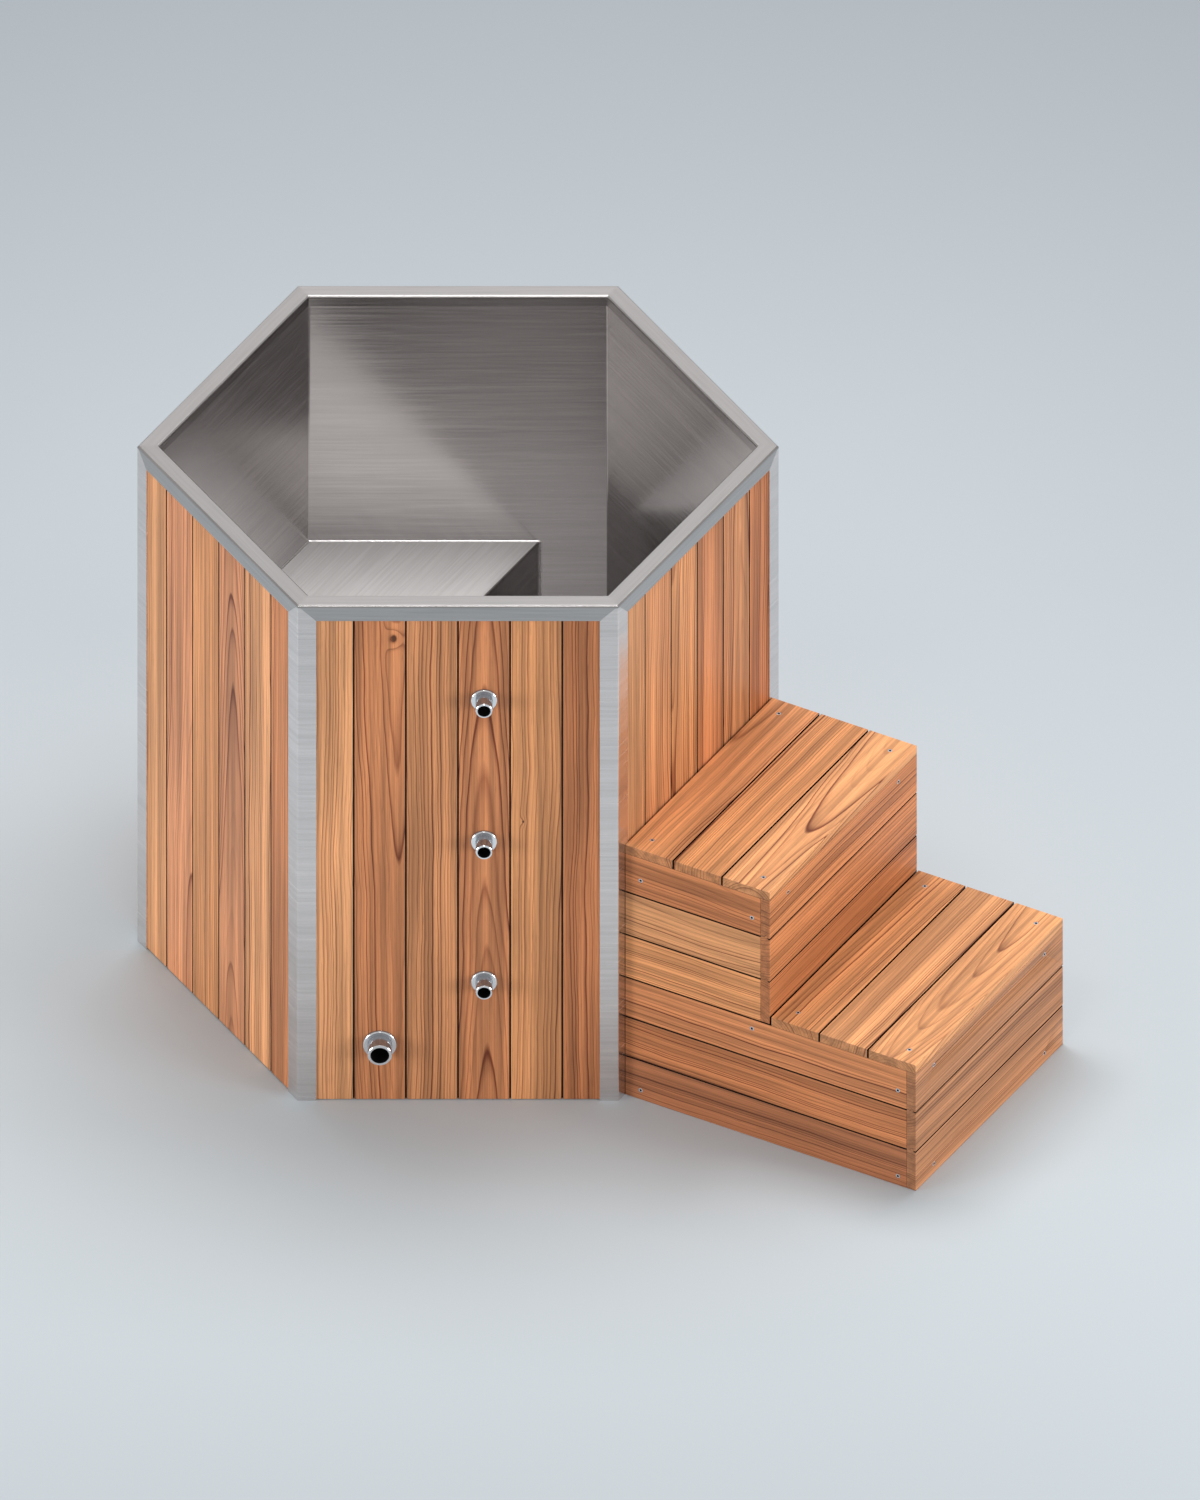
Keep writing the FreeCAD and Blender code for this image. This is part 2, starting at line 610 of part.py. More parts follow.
def base():
    """Timber rails under the liner walls, bearers between them, and rubber feet under both."""
    height = f"{FLOOR_UNDER} - foot_height"
    rail = [(f"-{LINER_OUT} * {TAN}", minus(LINER_OUT)), (f"{LINER_OUT} * {TAN}", minus(LINER_OUT)),
            (f"{RAIL_IN} * {TAN}", minus(RAIL_IN)), (f"-{RAIL_IN} * {TAN}", minus(RAIL_IN))]
    rails = []
    for face in FACES:
        turn = turn_of(face, FACES)
        rails.append(prism(f"base_rail_{face}", "XY_Plane", rail, "foot_height", height, turn))
    sub_part(grouped("base_rails", rails))

    def reach(distance):
        return f"(({RAIL_IN} - {distance} * {SIN}) / {COS})"

    half = "(rail_width / 2)"
    middle = [(reach(half), minus(half)), (reach("0"), "0"), (reach(half), half), (minus(reach(half)), half),
              (minus(reach("0")), "0"), (minus(reach(half)), minus(half))]
    near = "(bearer_spacing - rail_width / 2)"
    far = "(bearer_spacing + rail_width / 2)"
    side = [(reach(near), near), (reach(far), far), (minus(reach(far)), far), (minus(reach(near)), near)]
    sub_part(grouped("base_bearers", [
        prism("base_bearer_middle", "XY_Plane", middle, "foot_height", height),
        prism("base_bearer_back", "XY_Plane", side, "foot_height", height),
        prism("base_bearer_front", "XY_Plane", side, "foot_height", height, 3 * FACE_DEGREES)]))

    feet = [new_foot("foot_middle", "0", 0)]
    for face in FACES:
        feet.append(new_foot(f"foot_{face}", f"({LINER_OUT} - rail_width / 2)", turn_of(face, FACES)))
    sub_part(grouped("feet", feet))


def new_foot(label, distance, turn):
    foot = doc.addObject("Part::Cylinder", label)
    foot.Label = label
    foot.setExpression("Radius", bound("foot_radius"))
    foot.setExpression("Height", bound("foot_height"))
    foot.setExpression("Placement.Base.x", bound(f"{distance} * sin({turn} deg)"))
    foot.setExpression("Placement.Base.y", bound(f"-{distance} * cos({turn} deg)"))
    return foot


# Pipe stubs: name, place across the front face, height, outside radius and bore
STUBS = [
    ("overflow", PIPE_ACROSS, OVERFLOW_HEIGHT, "pipe_radius", "pipe_bore"),
    ("return", PIPE_ACROSS, "return_height", "pipe_radius", "pipe_bore"),
    ("suction", PIPE_ACROSS, "suction_height", "pipe_radius", "pipe_bore"),
    ("drain", DRAIN_ACROSS, "drain_height", "drain_radius", "drain_bore"),
]


def pipe_stubs():
    """Stubs welded flush into the liner, and rosettes that cover their holes in the boards."""
    length = f"({BOARD_OUT} - {LINER_IN} + pipe_reach)"
    for name, across, height, radius, bore in STUBS:
        tail = f"({radius} + pipe_shoulder)"
        shoulder = f"({length} - pipe_reach + rosette_thickness)"
        pipe = [(bore, "0"), (tail, "0"), (tail, shoulder), (radius, shoulder),
                (radius, f"{length} - pipe_chamfer"), (f"{radius} - pipe_chamfer", length),
                (bore, length)]
        sub_part(turned(f"{name}_pipe", "-Y", (across, minus(LINER_IN), height), pipe))
        inner = f"({tail} + rosette_clearance)"
        outer = f"({tail} + rosette_width)"
        flat = "(rosette_thickness - rosette_round)"
        round_start = f"({outer} - rosette_round)"
        ring = [(inner, "0"), (outer, "0"), (outer, flat, round_start, flat),
                (round_start, "rosette_thickness"), (inner, "rosette_thickness")]
        sub_part(turned(f"{name}_rosette", "-Y", (across, minus(BOARD_OUT), height), ring))


# Step unit

def screws(label, aim_and_places):
    """A group of screws and the matching group of holes, for aims and places on the wood's face."""
    def profile(room, recess):
        head = f"(screw_head_radius + {room})"
        shank = f"(screw_radius + {room})"
        neck = "(screw_sink + screw_head_height)"
        tip = f"(screw_length + screw_sink + {room})"
        if recess:
            floor = "(screw_sink + screw_recess_depth)"
            top = [("0", floor), ("screw_recess_radius", floor), ("screw_recess_radius", "screw_sink"),
                   (head, "screw_sink")]
        else:
            top = [("0", "-screw_sink"), (head, "-screw_sink"), (head, "screw_sink")]
        return top + [(shank, neck), (shank, tip), ("0", tip)]

    turn = turn_of(STEP_FACE, FACES)
    made = []
    holes = []
    for number, (aim, place) in enumerate(aim_and_places, start=1):
        made.append(turned(f"{label}_{number}", aim, place, profile("0", True), turn))
        holes.append(turned(f"{label}_{number}_hole", aim, place, profile("screw_clearance", False), turn))
    sub_part(grouped(label, made))
    return grouped(f"{label}_holes", holes)


def step_rows():
    """Heights (low, high, tongue, groove) of the lower and upper rows of boards, from the bottom up. The
    lower rows share their height evenly. The upper ones are cladding boards, the last cut to fit."""
    upper_start = f"({LOWER_UNDER} + board_gap)"
    lower_count = round(value(f"({LOWER_UNDER} + board_gap) / {PITCH}"))
    upper_count = round(value(f"({UPPER_UNDER} - {LOWER_UNDER}) / {PITCH}"))
    lower_cover = f"(({LOWER_UNDER} + board_gap) / {lower_count} - board_gap)"
    rows = ([], [])
    levels = (("0", lower_cover, LOWER_UNDER, lower_count),
              (upper_start, "board_cover", UPPER_UNDER, upper_count))
    for made, (start, cover, under, count) in zip(rows, levels):
        for index in range(count):
            last = index == count - 1
            low = f"({start} + {index} * ({cover} + board_gap))"
            high = under if last else f"({low} + {cover})"
            made.append((low, high, not last, index > 0))
    return rows


def step_unit():
    turn = turn_of(STEP_FACE, FACES)
    side_leg = f"({STEP_SIDE} - step_board)"
    tread_across = f"({side_leg} - bearer_size / 2)"
    riser_across = f"({STEP_SIDE} - riser_screw_inset)"
    leg_middle = "leg_depth / 2"

    tread_places = []
    for back, top in ((STEP_BACK, "upper_tread_height"), (LOWER_BACK, "lower_tread_height")):
        for inset in ("tread_screw_inset", f"{TREAD_DEPTH} - tread_screw_inset"):
            for across in (minus(tread_across), tread_across):
                tread_places.append(("-Z", (across, f"-({back} + {inset})", top)))
    tread_holes = screws("tread_screws", tread_places)

    riser_places = []
    riser_rows = ((UPPER_FRONT, f"{UPPER_UNDER} - screw_edge"), (LOWER_FRONT, f"{LOWER_UNDER} - screw_edge"),
                  (LOWER_FRONT, "screw_edge"))
    for front, height in riser_rows:
        for across in (minus(riser_across), riser_across):
            riser_places.append(("+Y", (across, minus(front), height)))
    riser_holes = screws("riser_screws", riser_places)

    side_rows = (
        (BACK_LEG, f"{UPPER_UNDER} - screw_drop"), (MIDDLE_LEG, f"{UPPER_UNDER} - screw_drop"),
        (MIDDLE_LEG, f"{LOWER_UNDER} - screw_edge"), (FRONT_LEG, f"{LOWER_UNDER} - screw_drop"),
        (BACK_LEG, "screw_edge"), (FRONT_LEG, "screw_edge"),
    )
    side_places = []
    for leg, height in side_rows:
        for aim, across in (("+X", minus(STEP_SIDE)), ("-X", STEP_SIDE)):
            side_places.append((aim, (across, f"-({leg} + {leg_middle})", height)))
    side_holes = screws("side_screws", side_places)
    all_holes = grouped("step_screw_holes", [tread_holes, riser_holes, side_holes])

    treads(turn, tread_holes)
    risers(turn, riser_holes)
    step_sides(turn, side_holes)

    legs = []
    for name, start, top in (("back", BACK_LEG, UPPER_UNDER), ("middle", MIDDLE_LEG, UPPER_UNDER),
                             ("front", FRONT_LEG, LOWER_UNDER)):
        outline = rectangle(minus(side_leg), f"(leg_width - {side_leg})", minus(f"{start} + leg_depth"),
                            minus(start))
        legs.append(prism(f"step_leg_{name}_left", "XY_Plane", outline, "0", top, turn))
        legs.append(prism(f"step_leg_{name}_right", "XY_Plane", mirrored(outline), "0", top, turn))
    sub_part(drilled("step_legs", grouped("step_legs_plain", legs), all_holes))

    bearers = []
    for name, start, stop, top in (("upper", f"({BACK_LEG} + leg_depth)", MIDDLE_LEG, UPPER_UNDER),
                                   ("lower", f"({MIDDLE_LEG} + leg_depth)", FRONT_LEG, LOWER_UNDER)):
        outline = rectangle(minus(side_leg), f"(bearer_size - {side_leg})", minus(stop), minus(start))
        low = f"{top} - bearer_size"
        for side, corners in (("left", outline), ("right", mirrored(outline))):
            label = f"tread_bearer_{name}_{side}"
            bearers.append(prism(label, "XY_Plane", corners, low, "bearer_size", turn))
    sub_part(drilled("tread_bearers", grouped("tread_bearers_plain", bearers), tread_holes))


def treads(turn, holes):
    """Three boards to a tread. The middle one has no screws."""
    for level, back in (("upper", STEP_BACK), ("lower", LOWER_BACK)):
        top = f"{level}_tread_height"
        for index, row in enumerate(TREAD_ROWS):
            start = f"({back} + {index} * (tread_board + tread_gap))"
            outline = rectangle(minus(f"{start} + tread_board"), minus(start), f"{top} - step_board", top)
            label = f"{level}_tread_{row}"
            if row == "middle":
                sub_part(prism(label, "YZ_Plane", outline, minus(STEP_SIDE), "step_width", turn))
            else:
                board = prism(f"{label}_plain", "YZ_Plane", outline, minus(STEP_SIDE), "step_width", turn)
                sub_part(drilled(label, board, holes))


def risers(turn, holes):
    lower_rows, upper_rows = step_rows()
    for level, front, rows in (("upper", UPPER_FRONT, upper_rows), ("lower", LOWER_FRONT, lower_rows)):
        boards = []
        for number, (low, high, tongue, groove) in enumerate(rows, start=1):
            section = plank_section(low, high, minus(front), "+", "step_board", tongue, groove)
            outline = [(depth, height) for height, depth in section]
            label = f"{level}_riser_{number}"
            boards.append(prism(label, "YZ_Plane", outline, minus(STEP_SIDE), "step_width", turn))
        sub_part(drilled(f"{level}_riser", grouped(f"{level}_riser_plain", boards), holes))


def step_sides(turn, holes):
    """Side boards end behind the risers, so the risers' end grain shows on the sides."""
    lower_rows, upper_rows = step_rows()
    for side, face, inward in (("left", minus(STEP_SIDE), "+"), ("right", STEP_SIDE, "-")):
        boards = []
        for level, front, rows in (("lower", LOWER_FRONT, lower_rows), ("upper", UPPER_FRONT, upper_rows)):
            for number, (low, high, tongue, groove) in enumerate(rows, start=1):
                section = plank_section(low, high, face, inward, "step_board", tongue, groove)
                outline = [(depth, height) for height, depth in section]
                boards.append(prism(f"{side}_side_{level}_{number}", "XZ_Plane", outline, STEP_BACK,
                                    f"{front} - {STEP_BACK} - step_board", turn))
        sub_part(drilled(f"{side}_side_boards", grouped(f"{side}_side_plain", boards), holes))


liner_walls()
liner_floor()
bench()
rims()
corner_posts()
corner_studs()
cladding()
battens()
base()
pipe_stubs()
step_unit()
doc.recompute()

for item in doc.Objects:
    if "Invalid" in item.State or "Error" in item.State:
        raise RuntimeError(f"{item.Label} failed: {item.State}")
for piece in SUB_PARTS:
    if piece.Shape.isNull() or not piece.Shape.isValid() or not piece.Shape.Solids:
        raise RuntimeError(f"{piece.Label} has no valid solid")

os.makedirs("parts", exist_ok=True)
for piece in SUB_PARTS:
    piece.Shape.exportStep(f"parts/{piece.Label}.step")
print(len(SUB_PARTS), "sub-parts,", sum(len(piece.Shape.Solids) for piece in SUB_PARTS), "solids")
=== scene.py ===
"""Looks of the hexagonal plunge tub and its step unit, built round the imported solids."""
import json
import math
import random

import bmesh
import bpy
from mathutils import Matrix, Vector


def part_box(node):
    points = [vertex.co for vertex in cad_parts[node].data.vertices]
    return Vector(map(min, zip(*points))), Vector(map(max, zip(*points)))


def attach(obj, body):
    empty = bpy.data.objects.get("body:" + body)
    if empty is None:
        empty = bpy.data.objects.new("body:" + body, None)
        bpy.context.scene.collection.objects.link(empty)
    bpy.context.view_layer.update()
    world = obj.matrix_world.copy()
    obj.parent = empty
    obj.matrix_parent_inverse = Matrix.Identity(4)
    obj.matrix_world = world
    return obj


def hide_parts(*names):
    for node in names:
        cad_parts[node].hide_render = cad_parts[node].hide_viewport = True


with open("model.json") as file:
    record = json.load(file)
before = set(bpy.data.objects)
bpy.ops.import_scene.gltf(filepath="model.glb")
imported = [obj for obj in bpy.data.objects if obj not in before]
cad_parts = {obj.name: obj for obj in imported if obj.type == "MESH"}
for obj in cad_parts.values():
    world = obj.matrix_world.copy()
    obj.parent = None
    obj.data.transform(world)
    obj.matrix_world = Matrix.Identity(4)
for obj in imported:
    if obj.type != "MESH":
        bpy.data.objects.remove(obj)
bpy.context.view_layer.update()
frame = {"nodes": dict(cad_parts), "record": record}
nodes = frame["nodes"]

FACES = ["front", "front_right", "back_right", "back", "back_left", "front_left"]
CORNERS = ["right", "back_right", "back_left", "left", "front_left", "front_right"]
FACE_TURN = 360 / len(FACES)
UP = Vector((0, 0, 1))
MM_PER_M = 1000
SEED = 11


def face_axes(face):
    """Unit vectors out of a face of the tub and along it, to the right as seen from outside."""
    turn = math.radians(FACE_TURN * FACES.index(face))
    outward = Vector((math.sin(turn), -math.cos(turn), 0))
    sideways = Vector((math.cos(turn), math.sin(turn), 0))
    return outward, sideways


def bore_mount(stub):
    """The record's mount for the bore of a pipe stub."""
    return next(mount for mount in frame["record"]["mounts"] if mount["name"] == f"{stub}_bore")


def new_piece(name, mesh, material):
    """Turns a bmesh into an object in the scene, with one material."""
    made = bpy.data.meshes.new(name)
    mesh.to_mesh(made)
    mesh.free()
    made.materials.append(material)
    piece = bpy.data.objects.new(name, made)
    bpy.context.scene.collection.objects.link(piece)
    return piece


STEP_OUT, STEP_ALONG = face_axes("front_right")


# Materials

def colour(red, green, blue):
    """A colour as a socket takes it."""
    return (red, green, blue, 1)


class Shader:
    """One material with a Principled surface, and short ways to add nodes to it."""

    def __init__(self, name):
        self.material = bpy.data.materials.new(name)
        self.material.use_nodes = True
        self.tree = self.material.node_tree
        self.tree.nodes.clear()
        output = self.tree.nodes.new("ShaderNodeOutputMaterial")
        self.surface = self.tree.nodes.new("ShaderNodeBsdfPrincipled")
        self.tree.links.new(self.surface.outputs["BSDF"], output.inputs["Surface"])

    def put(self, socket, given):
        """Links another node's output to a socket, or sets the socket to a fixed value."""
        if isinstance(given, bpy.types.NodeSocket):
            self.tree.links.new(given, socket)
        else:
            socket.default_value = given

    def set(self, **given):
        """Sets the surface's sockets by name, with _ for a space."""
        for name, what in given.items():
            self.put(self.surface.inputs[name.replace("_", " ")], what)

    def node(self, kind, *given, **settings):
        """A new node with these settings, and with its first inputs as given."""
        made = self.tree.nodes.new(kind)
        for name, what in settings.items():
            setattr(made, name, what)
        for socket, what in zip(made.inputs, given):
            self.put(socket, what)
        return made

    def math(self, operation, *given):
        return self.node("ShaderNodeMath", *given, operation=operation).outputs[0]

    def total(self, first, *others):
        for other in others:
            first = self.math("ADD", first, other)
        return first

    def product(self, first, *others):
        for other in others:
            first = self.math("MULTIPLY", first, other)
        return first

    def vector_math(self, operation, *given):
        made = self.node("ShaderNodeVectorMath", *given, operation=operation)
        return made.outputs["Value" if operation in ("DOT_PRODUCT", "LENGTH") else "Vector"]

    def scaled(self, vector, scales, offset=(0, 0, 0)):
        return self.vector_math("MULTIPLY_ADD", vector, scales, offset)

    def split(self, vector):
        return self.node("ShaderNodeSeparateXYZ", vector).outputs

    def join(self, *parts):
        return self.node("ShaderNodeCombineXYZ", *parts).outputs[0]

    def attribute(self, name):
        """A vector that the mesh carries."""
        return self.node("ShaderNodeAttribute", attribute_name=name).outputs["Vector"]

    def mark(self, name):
        """A number that the mesh carries."""
        return self.node("ShaderNodeAttribute", attribute_name=name).outputs["Fac"]

    def place(self):
        return self.node("ShaderNodeTexCoord").outputs["Object"]

    def normal(self):
        return self.node("ShaderNodeNewGeometry").outputs["Normal"]

    def noise(self, vector, detail=2.0, roughness=0.5, output="Fac"):
        """Noise with one cell to each unit of the vector."""
        made = self.node("ShaderNodeTexNoise")
        self.put(made.inputs["Vector"], vector)
        made.inputs["Scale"].default_value = 1.0
        made.inputs["Detail"].default_value = detail
        made.inputs["Roughness"].default_value = roughness
        return made.outputs[output]

    def grit(self, cells, detail):
        """Even noise with this many cells to the metre."""
        return self.noise(self.scaled(self.place(), (cells, cells, cells)), detail)

    def span(self, value, source, target=(0.0, 1.0), smooth=True):
        """Takes a value from one range to another, and holds it at the ends."""
        made = self.node("ShaderNodeMapRange", value, *source, *target)
        made.interpolation_type = "SMOOTHSTEP" if smooth else "LINEAR"
        return made.outputs[0]

    def about_zero(self, noise, reach):
        """Noise from 0 to 1, spread over this reach with zero in its middle."""
        return self.math("MULTIPLY_ADD", noise, reach, -reach / 2)

    def mix(self, amount, first, second, blend="MIX"):
        made = self.node("ShaderNodeMix", data_type="RGBA", blend_type=blend)
        self.put(made.inputs["Factor"], amount)
        self.put(made.inputs["A"], first)
        self.put(made.inputs["B"], second)
        return made.outputs["Result"]

    def lit(self, tint, light):
        """A colour made lighter or darker by a number."""
        return self.mix(1.0, tint, self.join(light, light, light), "MULTIPLY")

    def curve(self, value, points):
        """A ramp through (position, height) points."""
        made = self.node("ShaderNodeValToRGB", value)
        elements = made.color_ramp.elements
        while len(elements) < len(points):
            elements.new(0.0)
        for element, (position, height) in zip(elements, points):
            element.position = position
            element.color = colour(height, height, height)
        return made.outputs["Color"]

    def bump(self, height, strength, distance):
        made = self.node("ShaderNodeBump")
        made.inputs["Strength"].default_value = strength
        made.inputs["Distance"].default_value = distance
        self.put(made.inputs["Height"], height)
        self.set(Normal=made.outputs[0])


# Noise values mostly lie in this range
NOISE_RANGE = (0.3, 0.7)


# Oiled wood, with noise cells to the metre along and across the grain, and lengths in metres

BOARD_SHIFTS = (37.0, 53.0, 71.0)
WANDER_CELLS = (1.6, 2.0)
WANDER_ACROSS = 0.036
WANDER_INWARDS = 0.03
RIPPLE_CELLS = (7.0, 16.0)
RIPPLE_ACROSS = 0.007
LEAST_KNOT = 0.00001
KNOT_FLATTENING = 0.6
KNOT_EDGE = (0.55, 1.1)
SWIRL_FALL = 0.12
SWIRL_REACH = 2.2
UNEVEN_CELLS = 0.45
UNEVEN_RINGS = 2.2
LATE_WOOD_CURVE = [(0.0, 0.04), (0.5, 0.1), (0.74, 0.42), (0.9, 1.0), (1.0, 0.06)]
RING_STRENGTH = (0.3, 1.3)
ZONE_CELLS = 0.16
ZONE_RANGE = (0.35, 0.65)
ZONE_STRENGTH = (0.55, 1.2)
FIBRE_CELLS = (5.0, 420.0)
FIBRE_LIGHT = (0.84, 1.12)
STREAK_CELLS = (0.9, 55.0)
STREAK_LIGHT = (0.7, 1.22)
CLOUD_CELLS = (2.2, 9.0)
CLOUD_LIGHT = (0.9, 1.08)
PORE_CELLS = (22.0, 650.0)
PORE_RANGE = (0.62, 0.74)
PORE_DARKNESS = 0.22
END_GRAIN_SHARE = 0.42
# Painted shade in the gaps between boards fades in over these depths behind the face
GAP_SHADE_DEPTHS = (-0.0002, 0.0006)
WOOD_ROUGHNESS = 0.40
FIBRE_ROUGHNESS = 0.22
LATE_WOOD_HEIGHT = 0.6
FIBRE_HEIGHT = 0.7
KNOT_COLOUR = colour(0.105, 0.036, 0.016)
END_GRAIN_COLOUR = colour(0.26, 0.105, 0.045)
# Painted shade, near black, for faces in the gaps between boards and behind a tread
PAINTED_GAP_SHADE = colour(0.005, 0.002, 0.001)


class BoardShader(Shader):
    """A shader for boards that carry their own coordinates.

    Vertices carry grain, which is (along, across, depth) in metres, board, which is three random numbers,
    pith, which is (across, depth, taper), tone, which is the board's own colour, and knot, which is (along,
    across, radius). Faces carry end_grain, recess, which is 1 on faces in the gaps between boards that get
    painted shade, and hidden, which is 1 on faces behind a tread that get painted shade."""

    def __init__(self, name):
        super().__init__(name)
        self.grain = self.attribute("grain")
        self.along, self.across, self.depth = self.split(self.grain)
        board = self.attribute("board")
        self.first, self.second, self.third = self.split(board)
        self.shift = self.scaled(board, BOARD_SHIFTS)

    def grain_noise(self, cells, detail=2.0, roughness=0.5, output="Fac"):
        """Noise that is stretched along the grain, and different in each board."""
        along, across = cells
        vector = self.scaled(self.grain, (along, across, across), self.shift)
        return self.noise(vector, detail, roughness, output)

    def knot(self):
        """The knot's radius, and the distance from its middle as a share of that."""
        knot_along, knot_across, radius = self.split(self.attribute("knot"))
        radius = self.math("MAXIMUM", radius, LEAST_KNOT)
        lengthways = self.product(self.math("SUBTRACT", self.along, knot_along), KNOT_FLATTENING)
        sideways = self.math("SUBTRACT", self.across, knot_across)
        distance = self.vector_math("LENGTH", self.join(lengthways, sideways, 0.0))
        return radius, self.math("DIVIDE", distance, radius)

    def pith_distance(self):
        """The distance from the log's pith, which wanders and runs at a slant to the board."""
        wander = self.split(self.grain_noise(WANDER_CELLS, output="Color"))
        ripple = self.split(self.grain_noise(RIPPLE_CELLS, output="Color"))
        pith_across, pith_depth, taper = self.split(self.attribute("pith"))
        sideways = self.total(self.math("SUBTRACT", self.across, pith_across),
                              self.about_zero(wander[0], WANDER_ACROSS),
                              self.about_zero(ripple[0], RIPPLE_ACROSS))
        inwards = self.total(self.math("SUBTRACT", self.depth, pith_depth),
                             self.about_zero(wander[1], WANDER_INWARDS))
        squares = self.total(self.product(sideways, sideways), self.product(inwards, inwards))
        return self.total(self.math("SQRT", squares), self.product(self.along, taper))

    def ring_count(self, radius, ring_width):
        """Rings from the pith, some wider than others."""
        count = self.math("DIVIDE", radius, ring_width)
        place = self.join(self.product(count, UNEVEN_CELLS), self.first, self.second)
        uneven = self.noise(place, detail=1.0)
        return self.total(count, self.product(uneven, UNEVEN_RINGS))

    def late_wood(self, count):
        """The share of dark late wood, which ends each ring and is stronger in some rings and zones."""
        ring = self.noise(self.join(self.math("FLOOR", count), self.third, self.first), detail=0.0)
        zone = self.noise(self.join(self.product(count, ZONE_CELLS), self.third, self.second), detail=1.0)
        return self.product(self.curve(self.math("FRACT", count), LATE_WOOD_CURVE),
                            self.span(ring, NOISE_RANGE, RING_STRENGTH),
                            self.span(zone, ZONE_RANGE, ZONE_STRENGTH))


def oiled_wood(name, early, late, ring_width):
    """Softwood boards sawn from a log: rings about a pith beside each board, knots, fibres and pores."""
    shade = BoardShader(name)
    knot_radius, knot_share = shade.knot()
    swirl = shade.math("EXPONENT", shade.product(shade.math("POWER", knot_share, 2.0), -SWIRL_FALL))
    swerve = shade.product(swirl, shade.product(knot_radius, SWIRL_REACH))
    late_wood = shade.late_wood(shade.ring_count(shade.total(shade.pith_distance(), swerve), ring_width))

    fibre = shade.grain_noise(FIBRE_CELLS, detail=3.0, roughness=0.6)
    streak = shade.grain_noise(STREAK_CELLS, roughness=0.55)
    cloud = shade.grain_noise(CLOUD_CELLS, detail=1.0)
    pores = shade.span(shade.grain_noise(PORE_CELLS, detail=1.0), PORE_RANGE)
    light = shade.product(shade.span(fibre, NOISE_RANGE, FIBRE_LIGHT),
                          shade.span(streak, NOISE_RANGE, STREAK_LIGHT),
                          shade.span(cloud, NOISE_RANGE, CLOUD_LIGHT),
                          shade.math("MULTIPLY_ADD", pores, -PORE_DARKNESS, 1.0))

    tint = shade.mix(late_wood, early, late)
    tint = shade.mix(1.0, tint, shade.attribute("tone"), "MULTIPLY")
    tint = shade.lit(tint, light)
    tint = shade.mix(shade.span(knot_share, KNOT_EDGE, (1.0, 0.0)), tint, KNOT_COLOUR)
    tint = shade.mix(shade.product(shade.mark("end_grain"), END_GRAIN_SHARE), tint, END_GRAIN_COLOUR)
    # Painted shade: faces in the gaps between boards and faces behind a tread are painted near black
    gap = shade.product(shade.mark("recess"), shade.span(shade.depth, GAP_SHADE_DEPTHS))
    tint = shade.mix(shade.math("MAXIMUM", gap, shade.mark("hidden")), tint, PAINTED_GAP_SHADE)
    shade.set(Base_Color=tint, Specular_IOR_Level=0.35)
    shade.set(Roughness=shade.math("MULTIPLY_ADD", fibre, FIBRE_ROUGHNESS, WOOD_ROUGHNESS))
    height = shade.total(shade.product(late_wood, LATE_WOOD_HEIGHT), shade.product(fibre, FIBRE_HEIGHT))
    shade.bump(height, strength=0.35, distance=0.0006)
    return shade.material


# Planed softwood

TIMBER_PALE = colour(0.63, 0.43, 0.24)
TIMBER_DARK = colour(0.42, 0.25, 0.12)
TIMBER_LINE = colour(0.34, 0.19, 0.09)
TIMBER_RANGE = (0.35, 0.68)
TIMBER_LINE_SCALES = (3.0, 3.0, 3.0)
TIMBER_LINE_RANGE = (0.45, 0.75)
TIMBER_LINE_SHARE = (0.0, 0.35)
TIMBER_ROUGHNESS_RANGE = (0.2, 0.8)
TIMBER_ROUGHNESS = (0.5, 0.7)


def planed_softwood(name, cells):
    """Plain timber that is mostly hidden. The cells to the metre stretch its grain along the piece."""
    shade = Shader(name)
    place = shade.scaled(shade.place(), cells)
    band = shade.noise(place, detail=3.0, roughness=0.55)
    fine = shade.noise(shade.scaled(place, TIMBER_LINE_SCALES))
    tint = shade.mix(shade.span(band, TIMBER_RANGE), TIMBER_PALE, TIMBER_DARK)
    tint = shade.mix(shade.span(fine, TIMBER_LINE_RANGE, TIMBER_LINE_SHARE), tint, TIMBER_LINE)
    shade.set(Base_Color=tint, Roughness=shade.span(fine, TIMBER_ROUGHNESS_RANGE, TIMBER_ROUGHNESS))
    shade.bump(fine, strength=0.3, distance=0.0005)
    return shade.material


# Brushed steel. Lines are noise cells to the metre along and across the brush, a shift and a roughness

FINE_LINES = (7.0, 700.0, (0.0, 0.0, 0.0), 0.6)
FINE_LIGHT = (0.95, 1.04)
FINE_ROUGHNESS = (-0.03, 0.03)
DASH_LINES = (5.0, 190.0, (4.0, 9.0, 2.0), 0.55)
DASH_RANGE = (0.28, 0.72)
DASH_LIGHT = (0.93, 1.05)
DASH_ROUGHNESS = (-0.02, 0.03)
BROAD_LINES = (1.2, 26.0, (8.0, 3.0, 5.0), 0.5)
BROAD_LIGHT = (0.97, 1.03)
LEVEL_RISE = (0.85, 0.98)
SATIN_ROUGHNESS = 0.45
SATIN_METALLIC_LOSS = 0.7


